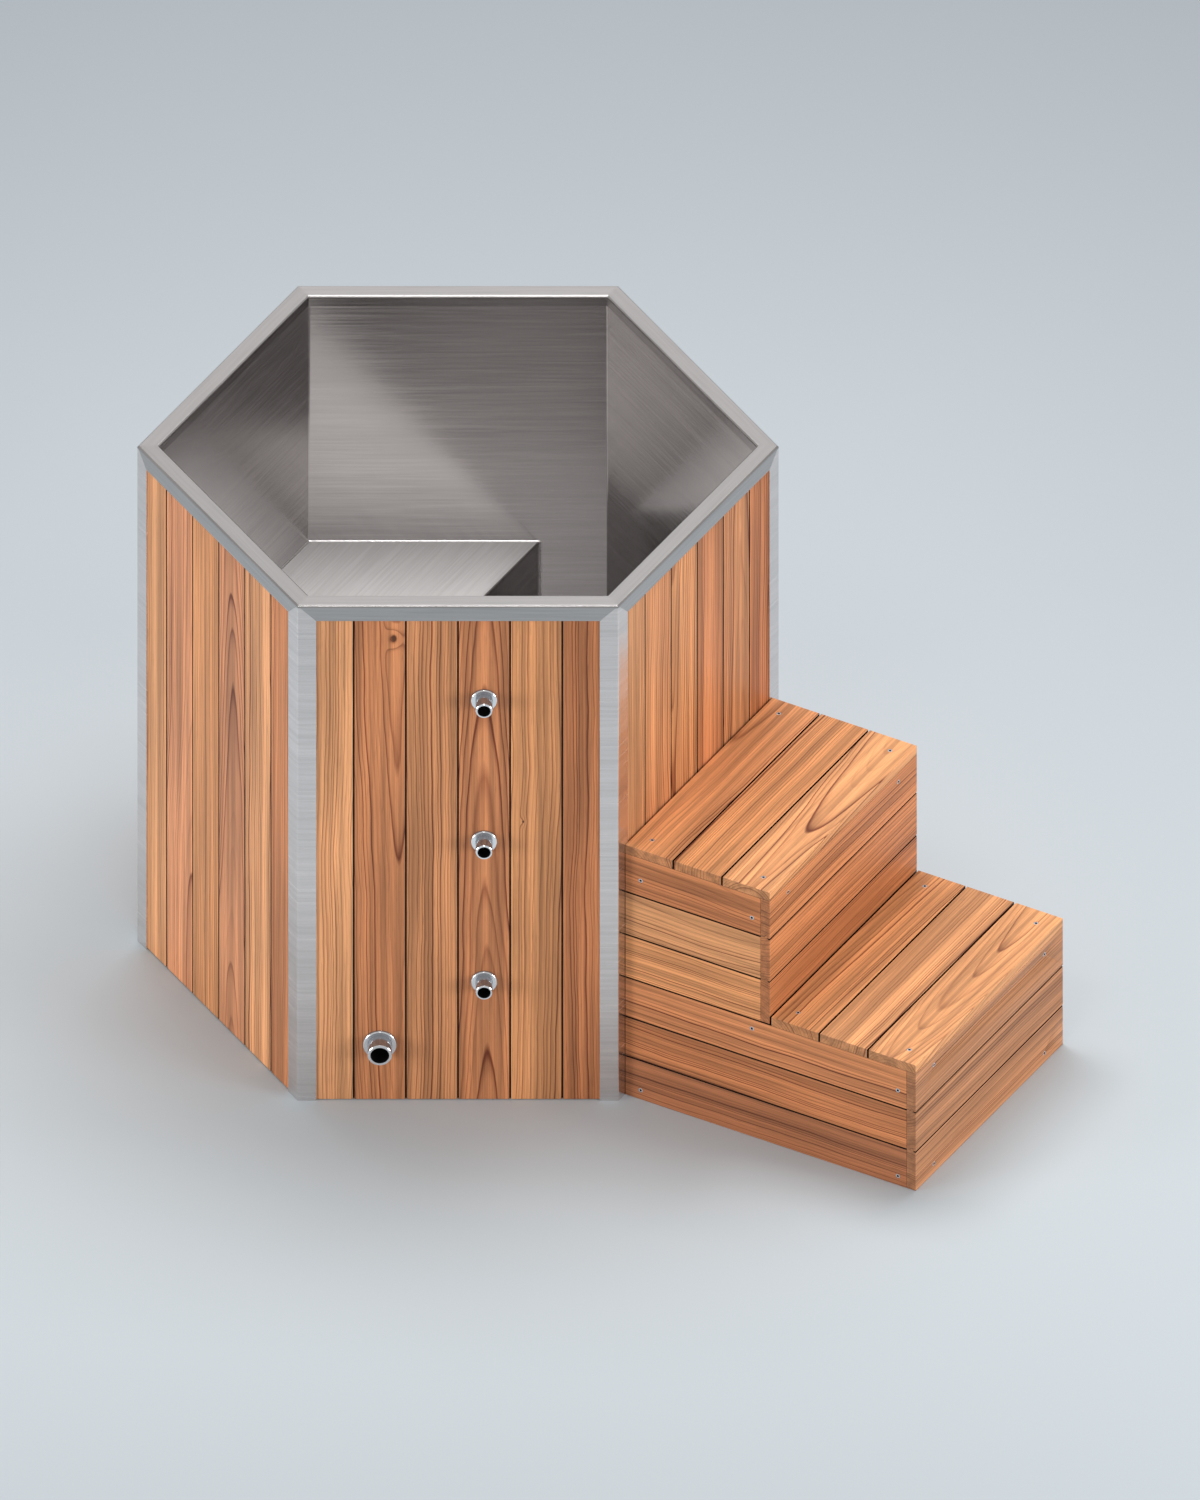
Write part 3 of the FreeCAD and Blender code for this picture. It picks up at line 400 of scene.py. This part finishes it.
def brushed_steel(name, tone, roughness, brushed_along=None, satin_tone=None):
    """Brushed sheet. Without a direction it is brushed level, as upright sheets are.

    With a satin tone the faces that look up are worn dull and have that tone, as on a seat."""
    shade = Shader(name)
    place = shade.place()
    if brushed_along is None:
        tangent = shade.join(*UP)
    else:
        tangent = shade.vector_math("CROSS_PRODUCT", shade.normal(), tuple(brushed_along))
        length = shade.vector_math("DOT_PRODUCT", place, tuple(brushed_along))
        width = shade.vector_math("DOT_PRODUCT", place, tuple(UP.cross(brushed_along)))
        rise = shade.split(place)[2]

    def brush_noise(lines):
        along, across, shift, noise_roughness = lines
        if brushed_along is None:
            vector = shade.scaled(place, (along, along, across), shift)
        else:
            vector = shade.join(shade.math("MULTIPLY_ADD", length, along, shift[0]),
                                shade.product(width, across), shade.product(rise, across))
        return shade.noise(vector, roughness=noise_roughness)

    fine = brush_noise(FINE_LINES)
    dash = brush_noise(DASH_LINES)
    broad = brush_noise(BROAD_LINES)
    light = shade.product(shade.span(fine, NOISE_RANGE, FINE_LIGHT),
                          shade.span(dash, DASH_RANGE, DASH_LIGHT),
                          shade.span(broad, NOISE_RANGE, BROAD_LIGHT))
    rough = shade.total(shade.span(fine, NOISE_RANGE, FINE_ROUGHNESS),
                        shade.span(dash, NOISE_RANGE, DASH_ROUGHNESS), roughness)
    if satin_tone is None:
        shade.set(Metallic=0.98)
    else:
        level = shade.span(shade.split(shade.normal())[2], LEVEL_RISE)
        tone = shade.mix(level, tone, satin_tone)
        rough = shade.math("MULTIPLY_ADD", level, SATIN_ROUGHNESS, rough)
        shade.set(Metallic=shade.math("MULTIPLY_ADD", level, -SATIN_METALLIC_LOSS, 1.0))
    shade.set(Base_Color=shade.lit(tone, light), Roughness=rough, Anisotropic=0.4, Tangent=tangent)
    shade.bump(shade.total(fine, dash), strength=0.03, distance=0.0001)
    return shade.material


# Polished fittings, with lathe marks in cells to the metre

LATHE_CELLS = 900.0
BORE_EDGE = 0.0004
# Painted shade inside the bore
PAINTED_BORE_SHADE = colour(0.004, 0.004, 0.005)
BORE_ROUGHNESS = colour(0.7, 0.7, 0.7)
END_FACING = (0.3, 0.7)
# Painted light on the flat ends and painted shade on the sides, for a polished pipe's reflections
CHROME_LIT_END = colour(0.90, 0.915, 0.94)
CHROME_SHADED_SIDE = colour(0.34, 0.36, 0.395)
CHROME_METALLIC = (0.7, 1.0)
CHROME_ROUGHNESS = (0.06, 0.13)


def chrome(name, node, bore):
    """Fitting with flat ends painted bright and sides painted dark, as painted light and shade for
    reflections.

    The bore, found by its distance from the stub's axis, is dull, and painted near black as shade."""
    low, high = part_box(node)
    middle = (low + high) / 2
    shade = Shader(name)
    offset = shade.vector_math("SUBTRACT", shade.place(), (middle.x, 0.0, middle.z))
    across, depth, rise = shade.split(offset)
    distance = shade.vector_math("LENGTH", shade.join(across, 0.0, rise))
    lathe = shade.noise(shade.join(shade.product(distance, LATHE_CELLS),
                                   shade.product(depth, LATHE_CELLS), 0.0))
    outside = shade.span(distance, (bore, bore + BORE_EDGE))
    end = shade.span(shade.math("ABSOLUTE", shade.split(shade.normal())[1]), END_FACING)
    # Painted light on faces that look along the stub, painted shade on its sides
    lit_and_shaded_metal = shade.mix(end, CHROME_SHADED_SIDE, CHROME_LIT_END)
    # The bore is painted near black as shade
    shade.set(Base_Color=shade.mix(outside, PAINTED_BORE_SHADE, lit_and_shaded_metal))
    shade.set(Metallic=shade.span(end, (0.0, 1.0), CHROME_METALLIC, smooth=False))
    polish = shade.span(lathe, NOISE_RANGE, CHROME_ROUGHNESS)
    shade.set(Roughness=shade.mix(outside, BORE_ROUGHNESS, polish))
    return shade.material


# Screw steel and rubber

SCREW_DARK = colour(0.60, 0.63, 0.68)
SCREW_PALE = colour(0.80, 0.82, 0.86)
# Painted shade inside a screw's recess
PAINTED_RECESS_SHADE = colour(0.005, 0.005, 0.006)
SCREW_ROUGHNESS = (0.22, 0.4)
RUBBER_DARK = colour(0.018, 0.018, 0.019)
RUBBER_PALE = colour(0.05, 0.05, 0.052)
RUBBER_ROUGHNESS = (0.7, 0.9)


def bright_steel(name):
    """Screw steel, painted near black as shade where the mesh is marked as a recess."""
    shade = Shader(name)
    grit = shade.grit(cells=900.0, detail=2.0)
    tint = shade.mix(shade.mark("recess"), shade.mix(grit, SCREW_DARK, SCREW_PALE), PAINTED_RECESS_SHADE)
    shade.set(Base_Color=tint, Metallic=0.6, Roughness=shade.span(grit, NOISE_RANGE, SCREW_ROUGHNESS))
    return shade.material


def rubber(name):
    """Dull black rubber."""
    shade = Shader(name)
    grit = shade.grit(cells=600.0, detail=3.0)
    shade.set(Base_Color=shade.mix(grit, RUBBER_DARK, RUBBER_PALE))
    shade.set(Roughness=shade.span(grit, NOISE_RANGE, RUBBER_ROUGHNESS))
    shade.bump(grit, strength=0.4, distance=0.0004)
    return shade.material


# Boards

TONES = {
    "pale": (1.16, 1.26, 1.32),
    "honey": (1.08, 1.1, 1.06),
    "mid": (1.0, 1.0, 1.0),
    "pink": (1.04, 1.02, 1.14),
    "red": (0.94, 0.85, 0.82),
    "deep": (0.86, 0.74, 0.68),
    # Painted shade: a darker tone for the lowest row of the step unit's sides
    "brown": (0.62, 0.54, 0.56),
    # Painted shade: a darker, cooler tone for the lower riser near the floor
    "dusky": (0.79, 0.82, 0.92),
}
TONE_SPREAD = (0.95, 1.05)
# Each figure has a range for the pith's place across and behind the board, and for its slant
FIGURES = {
    "straight": ((0.07, 0.14), (-0.01, 0.05), (-0.012, 0.012)),
    "slanted": ((0.04, 0.07), (0.03, 0.06), (-0.03, 0.03)),
    "arched": ((-0.018, 0.018), (0.035, 0.055), (0.028, 0.042)),
    "hanging": ((-0.018, 0.018), (0.04, 0.06), (-0.045, -0.06)),
    "edge_arched": ((0.028, 0.036), (0.03, 0.04), (-0.022, -0.03)),
}
EITHER_SIDE = ("straight", "slanted")
NO_KNOT = (0, 0, 0)
ARRIS = 0.0011
ARRIS_SEGMENTS = 2
ROUND_PROFILE = 0.5
ARRIS_REACH = 2 * ARRIS
LONG_EDGE = 0.015
MERGE = 0.000002
FLAT = math.radians(0.4)
SHARP = math.radians(40)
FACING = 0.6
WHOLE_MM = 3


def extent(verts, axis):
    """The lowest and the highest place of vertices along an axis."""
    places = [vert.co.dot(axis) for vert in verts]
    return min(places), max(places)


def islands(mesh):
    """Lists of the vertices of each separate piece of a bmesh."""
    seen = set()
    found = []
    for start in mesh.verts:
        if start not in seen:
            seen.add(start)
            reached = [start]
            for vert in reached:
                for edge in vert.link_edges:
                    other = edge.other_vert(vert)
                    if other not in seen:
                        seen.add(other)
                        reached.append(other)
            found.append(reached)
    return found


def eased_boards(node, cut_height):
    """A bmesh of a node's boards with long sharp edges eased, and cut level at a height if one is given."""
    mesh = bmesh.new()
    mesh.from_mesh(nodes[node].data)
    bmesh.ops.remove_doubles(mesh, verts=mesh.verts, dist=MERGE)
    bmesh.ops.dissolve_limit(mesh, angle_limit=FLAT, verts=mesh.verts, edges=mesh.edges)
    sharp = [edge for edge in mesh.edges if edge.is_manifold and edge.calc_length() > LONG_EDGE
             and edge.calc_face_angle() > SHARP]
    bmesh.ops.bevel(mesh, geom=sharp, offset=ARRIS, segments=ARRIS_SEGMENTS, profile=ROUND_PROFILE,
                    affect="EDGES", clamp_overlap=True)
    if cut_height is not None:
        everything = mesh.verts[:] + mesh.edges[:] + mesh.faces[:]
        bmesh.ops.bisect_plane(mesh, geom=everything, dist=MERGE, plane_co=UP * cut_height, plane_no=UP)
    return mesh


def pith_place(figure, rng):
    """A pith that gives a board this figure: its place across and behind the board, and its slant."""
    side = rng.choice((-1, 1)) if figure in EITHER_SIDE else 1
    across, depth, taper = [rng.uniform(*limits) for limits in FIGURES[figure]]
    return Vector((side * across, depth, taper))


def lay_grain(mesh, rng, axes, looks, knots):
    """Gives the vertices of each board their grain and what else is the board's own."""
    along, across, outward = axes
    kinds = ("grain", "board", "pith", "tone", "knot")
    layers = {kind: mesh.verts.layers.float_vector.new(kind) for kind in kinds}
    outside = extent(mesh.verts, outward)[1]

    def middle(verts, axis):
        return sum(extent(verts, axis)) / 2

    def order(verts):
        return (round(middle(verts, across), WHOLE_MM), round(middle(verts, along), WHOLE_MM))

    for number, (verts, look) in enumerate(zip(sorted(islands(mesh), key=order), looks, strict=True)):
        tone, figure = look.split()
        middle_along = middle(verts, along)
        middle_across = middle(verts, across)
        own = {
            "board": Vector((rng.random(), rng.random(), rng.random())),
            "tone": Vector(TONES[tone]) * rng.uniform(*TONE_SPREAD),
            "pith": pith_place(figure, rng),
            "knot": Vector(knots.get(number, NO_KNOT)),
        }
        for vert in verts:
            vert[layers["grain"]] = Vector((vert.co.dot(along) - middle_along,
                                            vert.co.dot(across) - middle_across,
                                            outside - vert.co.dot(outward)))
            for kind, what in own.items():
                vert[layers[kind]] = what


def mark_faces(mesh, axes, open_edge, painted_shade_below):
    """Marks end grain, and the faces that get painted shade: those in the gaps between boards, and those
    behind a tread.
    """
    along, across, outward = axes
    end_grain = mesh.faces.layers.float.new("end_grain")
    recess = mesh.faces.layers.float.new("recess")
    hidden = mesh.faces.layers.float.new("hidden")
    outside = extent(mesh.verts, outward)[1]
    sides = dict(zip(("near", "far"), extent(mesh.verts, across)))
    for face in mesh.faces:
        centre = face.calc_center_median()
        shown_edge = open_edge and abs(sides[open_edge] - centre.dot(across)) < ARRIS_REACH
        if abs(face.normal.dot(along)) > FACING:
            face[end_grain] = 1.0
        # Gap sides and faces deep behind the board's face get painted shade, but not at the open edge
        elif abs(face.normal.dot(across)) > FACING:
            face[recess] = 0.0 if shown_edge else 1.0
        elif outside - centre.dot(outward) > ARRIS_REACH and face.normal.dot(outward) > -FACING:
            face[recess] = 1.0
        # Faces behind a tread get painted shade
        if painted_shade_below is not None and centre.z < painted_shade_below and face.normal.dot(outward) > FACING:
            face[hidden] = 1.0


def boards(name, node, body, material, axes, looks, knots=None, open_edge=None, painted_shade_below=None):
    """Stands for a node of boards: the same boards with eased edges, and each with its own grain.

    The axes point along the boards, across them and out of their face. Looks name each board's tone and
    figure, in order across the boards. Knots are (along, across, radius) by the board's place in that
    order. The open_edge, near or far across the boards, is in the open, so it isn't in a gap and gets no
    painted shade. Below the height given last, the boards stand behind a tread, and their faces there are
    painted near black as shade."""
    mesh = eased_boards(node, painted_shade_below)
    lay_grain(mesh, random.Random(f"{SEED} {node}"), axes, looks, knots or {})
    mark_faces(mesh, axes, open_edge, painted_shade_below)
    piece = new_piece(name, mesh, material)
    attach(piece, body)
    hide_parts(node)


cladding_wood = oiled_wood("cladding_wood", early=colour(0.695, 0.306, 0.133),
                           late=colour(0.205, 0.048, 0.0155), ring_width=0.0066)
step_wood = oiled_wood("step_wood", early=colour(0.755, 0.326, 0.133),
                       late=colour(0.18, 0.040, 0.012), ring_width=0.0064)

CLADDING_BOARDS = {
    "front": ["pale straight", "red edge_arched", "mid straight",
              "red arched", "honey straight", "deep straight"],
    "front_right": ["pale straight", "mid straight", "honey slanted",
                    "red straight", "mid arched", "deep straight"],
    "back_right": ["mid straight", "honey arched", "red straight",
                   "mid slanted", "pale straight", "red straight"],
    "back": ["honey straight", "mid slanted", "deep straight",
             "mid hanging", "red straight", "pale straight"],
    "back_left": ["red straight", "pale slanted", "mid straight",
                  "honey arched", "red straight", "mid straight"],
    "front_left": ["pale straight", "pink slanted", "honey straight",
                   "pink arched", "pale straight", "red straight"],
}
CLADDING_KNOTS = {
    "front": {1: (0.53, 0.024, 0.006), 4: (0.086, -0.030, 0.0024)},
    "back": {2: (-0.22, 0.01, 0.008)},
    "back_right": {3: (0.15, -0.02, 0.007)},
}
for face in FACES:
    outward, sideways = face_axes(face)
    boards(f"{face}_cladding", f"boards_{face}", "tub", cladding_wood,
           (UP, sideways, outward), CLADDING_BOARDS[face], CLADDING_KNOTS.get(face))

OPEN_EDGES = {"upper back": "near", "upper front": "far", "lower front": "far"}
TREAD_BOARDS = {
    "upper": {"back": "mid slanted", "middle": "honey straight", "front": "pale hanging"},
    "lower": {"back": "honey slanted", "middle": "pale straight", "front": "pale hanging"},
}
RISER_BOARDS = {
    "upper": ["deep straight", "red straight", "red straight"],
    # The lower riser's tone is painted shade
    "lower": ["dusky straight", "dusky slanted", "dusky straight"],
}
# The lowest side row's tone is painted shade
SIDE_BOARDS = ["brown straight", "deep straight", "red slanted",
               "honey straight", "pale slanted", "deep slanted"]
# Riser faces below the lower tread's top are painted near black, as shade
TREAD_SHADE_BELOW = {"upper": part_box("lower_tread_back")[1].z}
for level in ("upper", "lower"):
    for row, look in TREAD_BOARDS[level].items():
        boards(f"{level}_{row}_tread_board", f"{level}_tread_{row}", "steps", step_wood,
               (STEP_ALONG, STEP_OUT, UP), [look], open_edge=OPEN_EDGES.get(f"{level} {row}"))
    boards(f"{level}_riser_boards", f"{level}_riser", "steps", step_wood,
           (STEP_ALONG, UP, STEP_OUT), RISER_BOARDS[level], painted_shade_below=TREAD_SHADE_BELOW.get(level))
for side, outward in (("left", -STEP_ALONG), ("right", STEP_ALONG)):
    boards(f"{side}_side_cladding", f"{side}_side_boards", "steps", step_wood,
           (STEP_OUT, UP, outward), SIDE_BOARDS)


# Screws

SCREW_SIDES = 48
SCREW_SHARP = math.radians(35)
HEAD_RADIUS = 0.0048
HEAD_EDGE = 0.0004
HEAD_HEIGHT = 0.0028
SHANK_RADIUS = 0.0024
POINT_LENGTH = 0.006
POINT_SHARE = 0.15
LOBES = 6
RECESS_RADIUS = 0.0024
RECESS_LOBE = 0.0003
RECESS_DEPTH = 0.0018
RECESS_MOUTH = 0.0002
RECESS_FLARE = 1.1
RECESS_TAPER = 0.94
RECESS_FLOOR = 0.5
RECESS_RINGS = 3


def screw_rings(length):
    """Rings of a screw from the recess's floor to the point: (radius, lobe, depth)."""
    return [
        (RECESS_RADIUS * RECESS_FLOOR, 0.0, RECESS_DEPTH),
        (RECESS_RADIUS * RECESS_TAPER, RECESS_LOBE, RECESS_DEPTH),
        (RECESS_RADIUS, RECESS_LOBE, RECESS_MOUTH),
        (RECESS_RADIUS * RECESS_FLARE, RECESS_LOBE, 0.0),
        (HEAD_RADIUS - HEAD_EDGE, 0.0, 0.0),
        (HEAD_RADIUS, 0.0, HEAD_EDGE),
        (SHANK_RADIUS, 0.0, HEAD_HEIGHT),
        (SHANK_RADIUS, 0.0, length - POINT_LENGTH),
        (SHANK_RADIUS * POINT_SHARE, 0.0, length),
    ]


def add_screw(mesh, recess, head, outward, length):
    """Adds a screw to a bmesh, from the middle of its head's top, and marks its recess for painted shade.
    """
    turn = outward.to_track_quat("Z", "Y").to_matrix()
    rings = []
    for radius, lobe, depth in screw_rings(length):
        ring = []
        for step in range(SCREW_SIDES):
            angle = 2 * math.pi * step / SCREW_SIDES
            reach = radius + lobe * math.cos(LOBES * angle)
            local = Vector((reach * math.cos(angle), reach * math.sin(angle), -depth))
            ring.append(mesh.verts.new(head + turn @ local))
        rings.append(ring)
    for number, (inner, outer) in enumerate(zip(rings, rings[1:])):
        for step in range(SCREW_SIDES):
            after = (step + 1) % SCREW_SIDES
            side = mesh.faces.new((inner[step], outer[step], outer[after], inner[after]))
            # The recess's faces get painted shade
            side[recess] = 1.0 if number < RECESS_RINGS else 0.0
    mesh.faces.new(rings[0])[recess] = 1.0
    mesh.faces.new(list(reversed(rings[-1])))


def screws(name, node, outward_of, material):
    """Stands for a node of screws, with six-lobed recesses. outward_of says which way a head faces."""
    source = bmesh.new()
    source.from_mesh(nodes[node].data)
    bmesh.ops.remove_doubles(source, verts=source.verts, dist=MERGE)
    mesh = bmesh.new()
    recess = mesh.faces.layers.float.new("recess")
    for verts in islands(source):
        outward = outward_of(sum((vert.co for vert in verts), Vector()) / len(verts))
        low, high = extent(verts, outward)
        top = [vert.co for vert in verts if vert.co.dot(outward) > high - MERGE]
        head = sum(top, Vector()) / len(top)
        add_screw(mesh, recess, head, outward, high - low)
    source.free()
    bmesh.ops.recalc_face_normals(mesh, faces=mesh.faces)
    piece = new_piece(name, mesh, material)
    piece.data.shade_smooth()
    piece.data.set_sharp_from_angle(angle=SCREW_SHARP)
    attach(piece, "steps")
    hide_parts(node)


step_low, step_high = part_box("upper_tread_middle")
step_middle = ((step_low + step_high) / 2).dot(STEP_ALONG)
screw_steel = bright_steel("screw_steel")
screws("tread_wood_screws", "tread_screws", lambda place: UP, screw_steel)
screws("riser_wood_screws", "riser_screws", lambda place: STEP_OUT, screw_steel)
screws("side_wood_screws", "side_screws",
       lambda place: STEP_ALONG if place.dot(STEP_ALONG) > step_middle else -STEP_ALONG, screw_steel)


# CAD nodes that keep their shape

LINER_TONE = colour(0.65, 0.627, 0.622)
SEAT_TONE = colour(0.62, 0.60, 0.595)
BENCH_TONE = colour(0.46, 0.445, 0.44)
# Painted shade: the floor of the well is the liner's steel in a darker tone, as shade deep in the tub
LINER_FLOOR_SHADE_TONE = colour(0.42, 0.407, 0.404)
RIM_TONE = colour(0.50, 0.482, 0.478)
RIM_TOP_TONE = colour(0.30, 0.288, 0.286)
POST_TONE = colour(0.76, 0.715, 0.705)
UPRIGHT_CELLS = (160.0, 160.0, 3.0)
LEVEL_CELLS = (7.0, 7.0, 160.0)


def dress(node, material):
    """Gives a CAD node one material."""
    slots = nodes[node].data.materials
    slots.clear()
    slots.append(material)


liner_wall_steel = brushed_steel("liner_wall_steel", LINER_TONE, roughness=0.2)
post_steel = brushed_steel("post_steel", POST_TONE, roughness=0.22)
for face in FACES:
    dress(f"liner_wall_{face}", liner_wall_steel)
    dress(f"rim_{face}", brushed_steel(f"rim_steel_{face}", RIM_TONE, roughness=0.18,
                                       brushed_along=face_axes(face)[1], satin_tone=RIM_TOP_TONE))
for corner in CORNERS:
    dress(f"corner_post_{corner}", post_steel)
bench_steel = brushed_steel("bench_steel", BENCH_TONE, roughness=0.2,
                            brushed_along=face_axes("back_left")[1], satin_tone=SEAT_TONE)
for node in ("bench_seat", "bench_front", "bench_ribs"):
    dress(node, bench_steel)
# The well floor's darker tone is painted shade
dress("liner_floor", brushed_steel("floor_steel", LINER_FLOOR_SHADE_TONE, roughness=0.2,
                                   brushed_along=face_axes("front")[1], satin_tone=LINER_FLOOR_SHADE_TONE))

for stub in ("overflow", "return", "suction", "drain"):
    fitting = chrome(f"{stub}_chrome", f"{stub}_pipe", bore_mount(stub)["dims"]["r_mm"] / MM_PER_M)
    dress(f"{stub}_pipe", fitting)
    dress(f"{stub}_rosette", fitting)

upright_timber = planed_softwood("upright_timber", UPRIGHT_CELLS)
level_timber = planed_softwood("level_timber", LEVEL_CELLS)
for node in ("corner_studs", "step_legs"):
    dress(node, upright_timber)
for node in ("upper_battens", "middle_battens", "lower_battens",
             "base_rails", "base_bearers", "tread_bearers"):
    dress(node, level_timber)
dress("feet", rubber("foot_rubber"))


# Welds in the liner

# Real weld beads, paler than the sheets: their pale tone is partly painted highlight
WELD_HIGHLIGHT_TONE = colour(0.88, 0.86, 0.855)
WELD_LEG = 0.003
WELD_STEP = 0.0025
WELD_UNEVEN = 0.12
WELD_SINK = 0.0001
WELD_ARC = 4
WELD_SWELL = 0.25
HALF_TURN = math.radians(FACE_TURN / 2)


def weld(mesh, rng, start, end, first, second):
    """A fillet bead from start to end, in the corner between sheets that go off along first and second."""
    stations = round((end - start).length / WELD_STEP)
    rings = []
    for station in range(stations + 1):
        leg = WELD_LEG * (1 + rng.uniform(-WELD_UNEVEN, WELD_UNEVEN))
        corner = start.lerp(end, station / stations) - (first + second) * WELD_SINK
        ring = [mesh.verts.new(corner)]
        for point in range(WELD_ARC + 1):
            share = point / WELD_ARC
            out = first * (1 - share) + second * share
            swell = 1 + WELD_SWELL * math.sin(math.pi * share)
            ring.append(mesh.verts.new(corner + out * leg * swell))
        rings.append(ring)
    for before, after in zip(rings, rings[1:]):
        for point in range(len(before)):
            following = (point + 1) % len(before)
            mesh.faces.new((before[point], before[following], after[following], after[point]))
    mesh.faces.new(rings[0])
    mesh.faces.new(list(reversed(rings[-1])))


def liner_welds(material):
    """Beads round the bench and along the floor, in a pale tone that is partly painted highlight."""
    rng = random.Random(f"{SEED} welds")
    mesh = bmesh.new()
    bore = bore_mount("overflow")
    liner_in = -bore["pos_m"][1] - bore["dims"]["length_mm"] / MM_PER_M / 2
    bench_out, bench_along = face_axes("back_left")
    bench_front = extent(nodes["bench_seat"].data.vertices, bench_out)[0]
    bench_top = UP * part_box("bench_seat")[1].z
    floor_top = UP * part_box("liner_floor")[1].z

    def meeting(distance, side):
        """Where the line at this distance along the bench's outward axis meets the wall on one side."""
        reach = (liner_in - distance * math.sin(HALF_TURN)) / math.cos(HALF_TURN)
        return bench_out * distance + bench_along * side * reach

    for side, wall in ((-1, "back"), (1, "front_left")):
        inward = -face_axes(wall)[0]
        seat_back = meeting(liner_in, side)
        seat_front = meeting(bench_front, side)
        weld(mesh, rng, seat_back + bench_top, seat_front + bench_top, inward, UP)
        weld(mesh, rng, seat_front + floor_top, seat_front + bench_top, -bench_out,
             (seat_front - seat_back).normalized())
    weld(mesh, rng, meeting(liner_in, -1) + bench_top, meeting(liner_in, 1) + bench_top, -bench_out, UP)
    for face in FACES:
        outward, sideways = face_axes(face)
        half = liner_in * math.tan(HALF_TURN)
        left = outward * liner_in - sideways * half + floor_top
        right = outward * liner_in + sideways * half + floor_top
        weld(mesh, rng, left, right, -outward, UP)
    bmesh.ops.recalc_face_normals(mesh, faces=mesh.faces)
    piece = new_piece("liner_welds", mesh, material)
    piece.data.shade_smooth()
    piece.data.set_sharp_from_angle(angle=SHARP)
    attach(piece, "tub")


# Weld beads in a pale tone that is partly painted highlight
liner_welds(brushed_steel("weld_steel", WELD_HIGHLIGHT_TONE, roughness=0.3))


# Stage

FLOOR_HALF = 14.0
FLOOR_CORNERS = ((-1, -1), (1, -1), (1, 1), (-1, 1))
FLOOR_DEPTHS = (-0.8, 3.2)
FLOOR_FRONT = colour(0.56, 0.62, 0.66)
FLOOR_BACK = colour(0.50, 0.55, 0.595)
FLOOR_REACHES = (3.6, 6.5)
FLOOR_FAR = colour(0.86, 0.885, 0.90)
SKY_COLOUR = colour(1.0, 0.985, 0.97)
SKY_LIGHT = 0.42
SKY_SEEN = 0.52


def floor_paint(name):
    """Matt paint, a little darker towards the back, and pale far from the tub."""
    shade = Shader(name)
    depth = shade.split(shade.place())[1]
    tint = shade.mix(shade.span(depth, FLOOR_DEPTHS), FLOOR_FRONT, FLOOR_BACK)
    reach = shade.vector_math("LENGTH", shade.place())
    tint = shade.mix(shade.span(reach, FLOOR_REACHES), tint, FLOOR_FAR)
    shade.set(Base_Color=tint, Roughness=0.75, Specular_IOR_Level=0.2)
    return shade.material


def studio_world(name):
    """An even sky, which is brighter where it is seen or mirrored than as a light."""
    world = bpy.data.worlds.new(name)
    world.use_nodes = True
    tree = world.node_tree
    sky = tree.nodes["Background"]
    sky.inputs["Color"].default_value = SKY_COLOUR
    rays = tree.nodes.new("ShaderNodeLightPath")
    seen = rays.outputs["Is Camera Ray"]
    for kind in ("Is Glossy Ray", "Is Transmission Ray"):
        either = tree.nodes.new("ShaderNodeMath")
        either.operation = "MAXIMUM"
        tree.links.new(seen, either.inputs[0])
        tree.links.new(rays.outputs[kind], either.inputs[1])
        seen = either.outputs[0]
    strength = tree.nodes.new("ShaderNodeMapRange")
    strength.inputs["To Min"].default_value = SKY_LIGHT
    strength.inputs["To Max"].default_value = SKY_SEEN
    tree.links.new(seen, strength.inputs["Value"])
    tree.links.new(strength.outputs[0], sky.inputs["Strength"])
    return world


def softbox(name, place, aim, size, power, spread):
    """An area lamp at a place, turned towards its aim, with a spread in degrees."""
    lamp = bpy.data.lights.new(name, "AREA")
    lamp.shape = "RECTANGLE"
    lamp.size, lamp.size_y = size
    lamp.energy = power
    lamp.spread = math.radians(spread)
    holder = bpy.data.objects.new(name, lamp)
    bpy.context.scene.collection.objects.link(holder)
    holder.location = place
    holder.rotation_mode = "QUATERNION"
    holder.rotation_quaternion = (Vector(aim) - Vector(place)).to_track_quat("-Z", "Y")


floor_mesh = bpy.data.meshes.new("stage_floor")
floor_mesh.from_pydata([(x * FLOOR_HALF, y * FLOOR_HALF, 0) for x, y in FLOOR_CORNERS], [], [(0, 1, 2, 3)])
floor_mesh.materials.append(floor_paint("floor_paint"))
stage_floor = bpy.data.objects.new("stage_floor", floor_mesh)
bpy.context.scene.collection.objects.link(stage_floor)

bpy.context.scene.world = studio_world("studio")
softbox("key_light", place=(0.4, 1.0, 4.9), aim=(0.2, 0.0, 0.3),
        size=(4.0, 2.2), power=185.0, spread=180)
softbox("left_light", place=(-4.6, -2.5, 1.25), aim=(-0.4, -0.3, 0.7),
        size=(2.4, 1.9), power=41.0, spread=110)
softbox("right_light", place=(4.7, -3.1, 1.25), aim=(0.6, -0.3, 0.6),
        size=(2.4, 1.9), power=45.0, spread=110)
softbox("edge_light", place=(0.0, -3.0, 4.4), aim=(0.0, 0.0, 1.2),
        size=(1.0, 0.5), power=12.0, spread=180)


# Camera, a parallel view from the front at the elevation of a true isometric

ELEVATION = math.atan(1 / math.sqrt(2))
AIM = Vector((0.281, 0.0, 0.4615))
VIEW_HEIGHT = 2.9685
CAMERA_DISTANCE = 8.0

camera_data = bpy.data.cameras.new("camera")
camera_data.type = "ORTHO"
camera_data.sensor_fit = "VERTICAL"
camera_data.ortho_scale = VIEW_HEIGHT
camera = bpy.data.objects.new("camera", camera_data)
bpy.context.scene.collection.objects.link(camera)
back = Vector((0, -math.cos(ELEVATION), math.sin(ELEVATION)))
camera.location = AIM + back * CAMERA_DISTANCE
camera.rotation_mode = "QUATERNION"
camera.rotation_quaternion = (-back).to_track_quat("-Z", "Y")
bpy.context.scene.camera = camera
bpy.context.scene.view_settings.view_transform = "Standard"
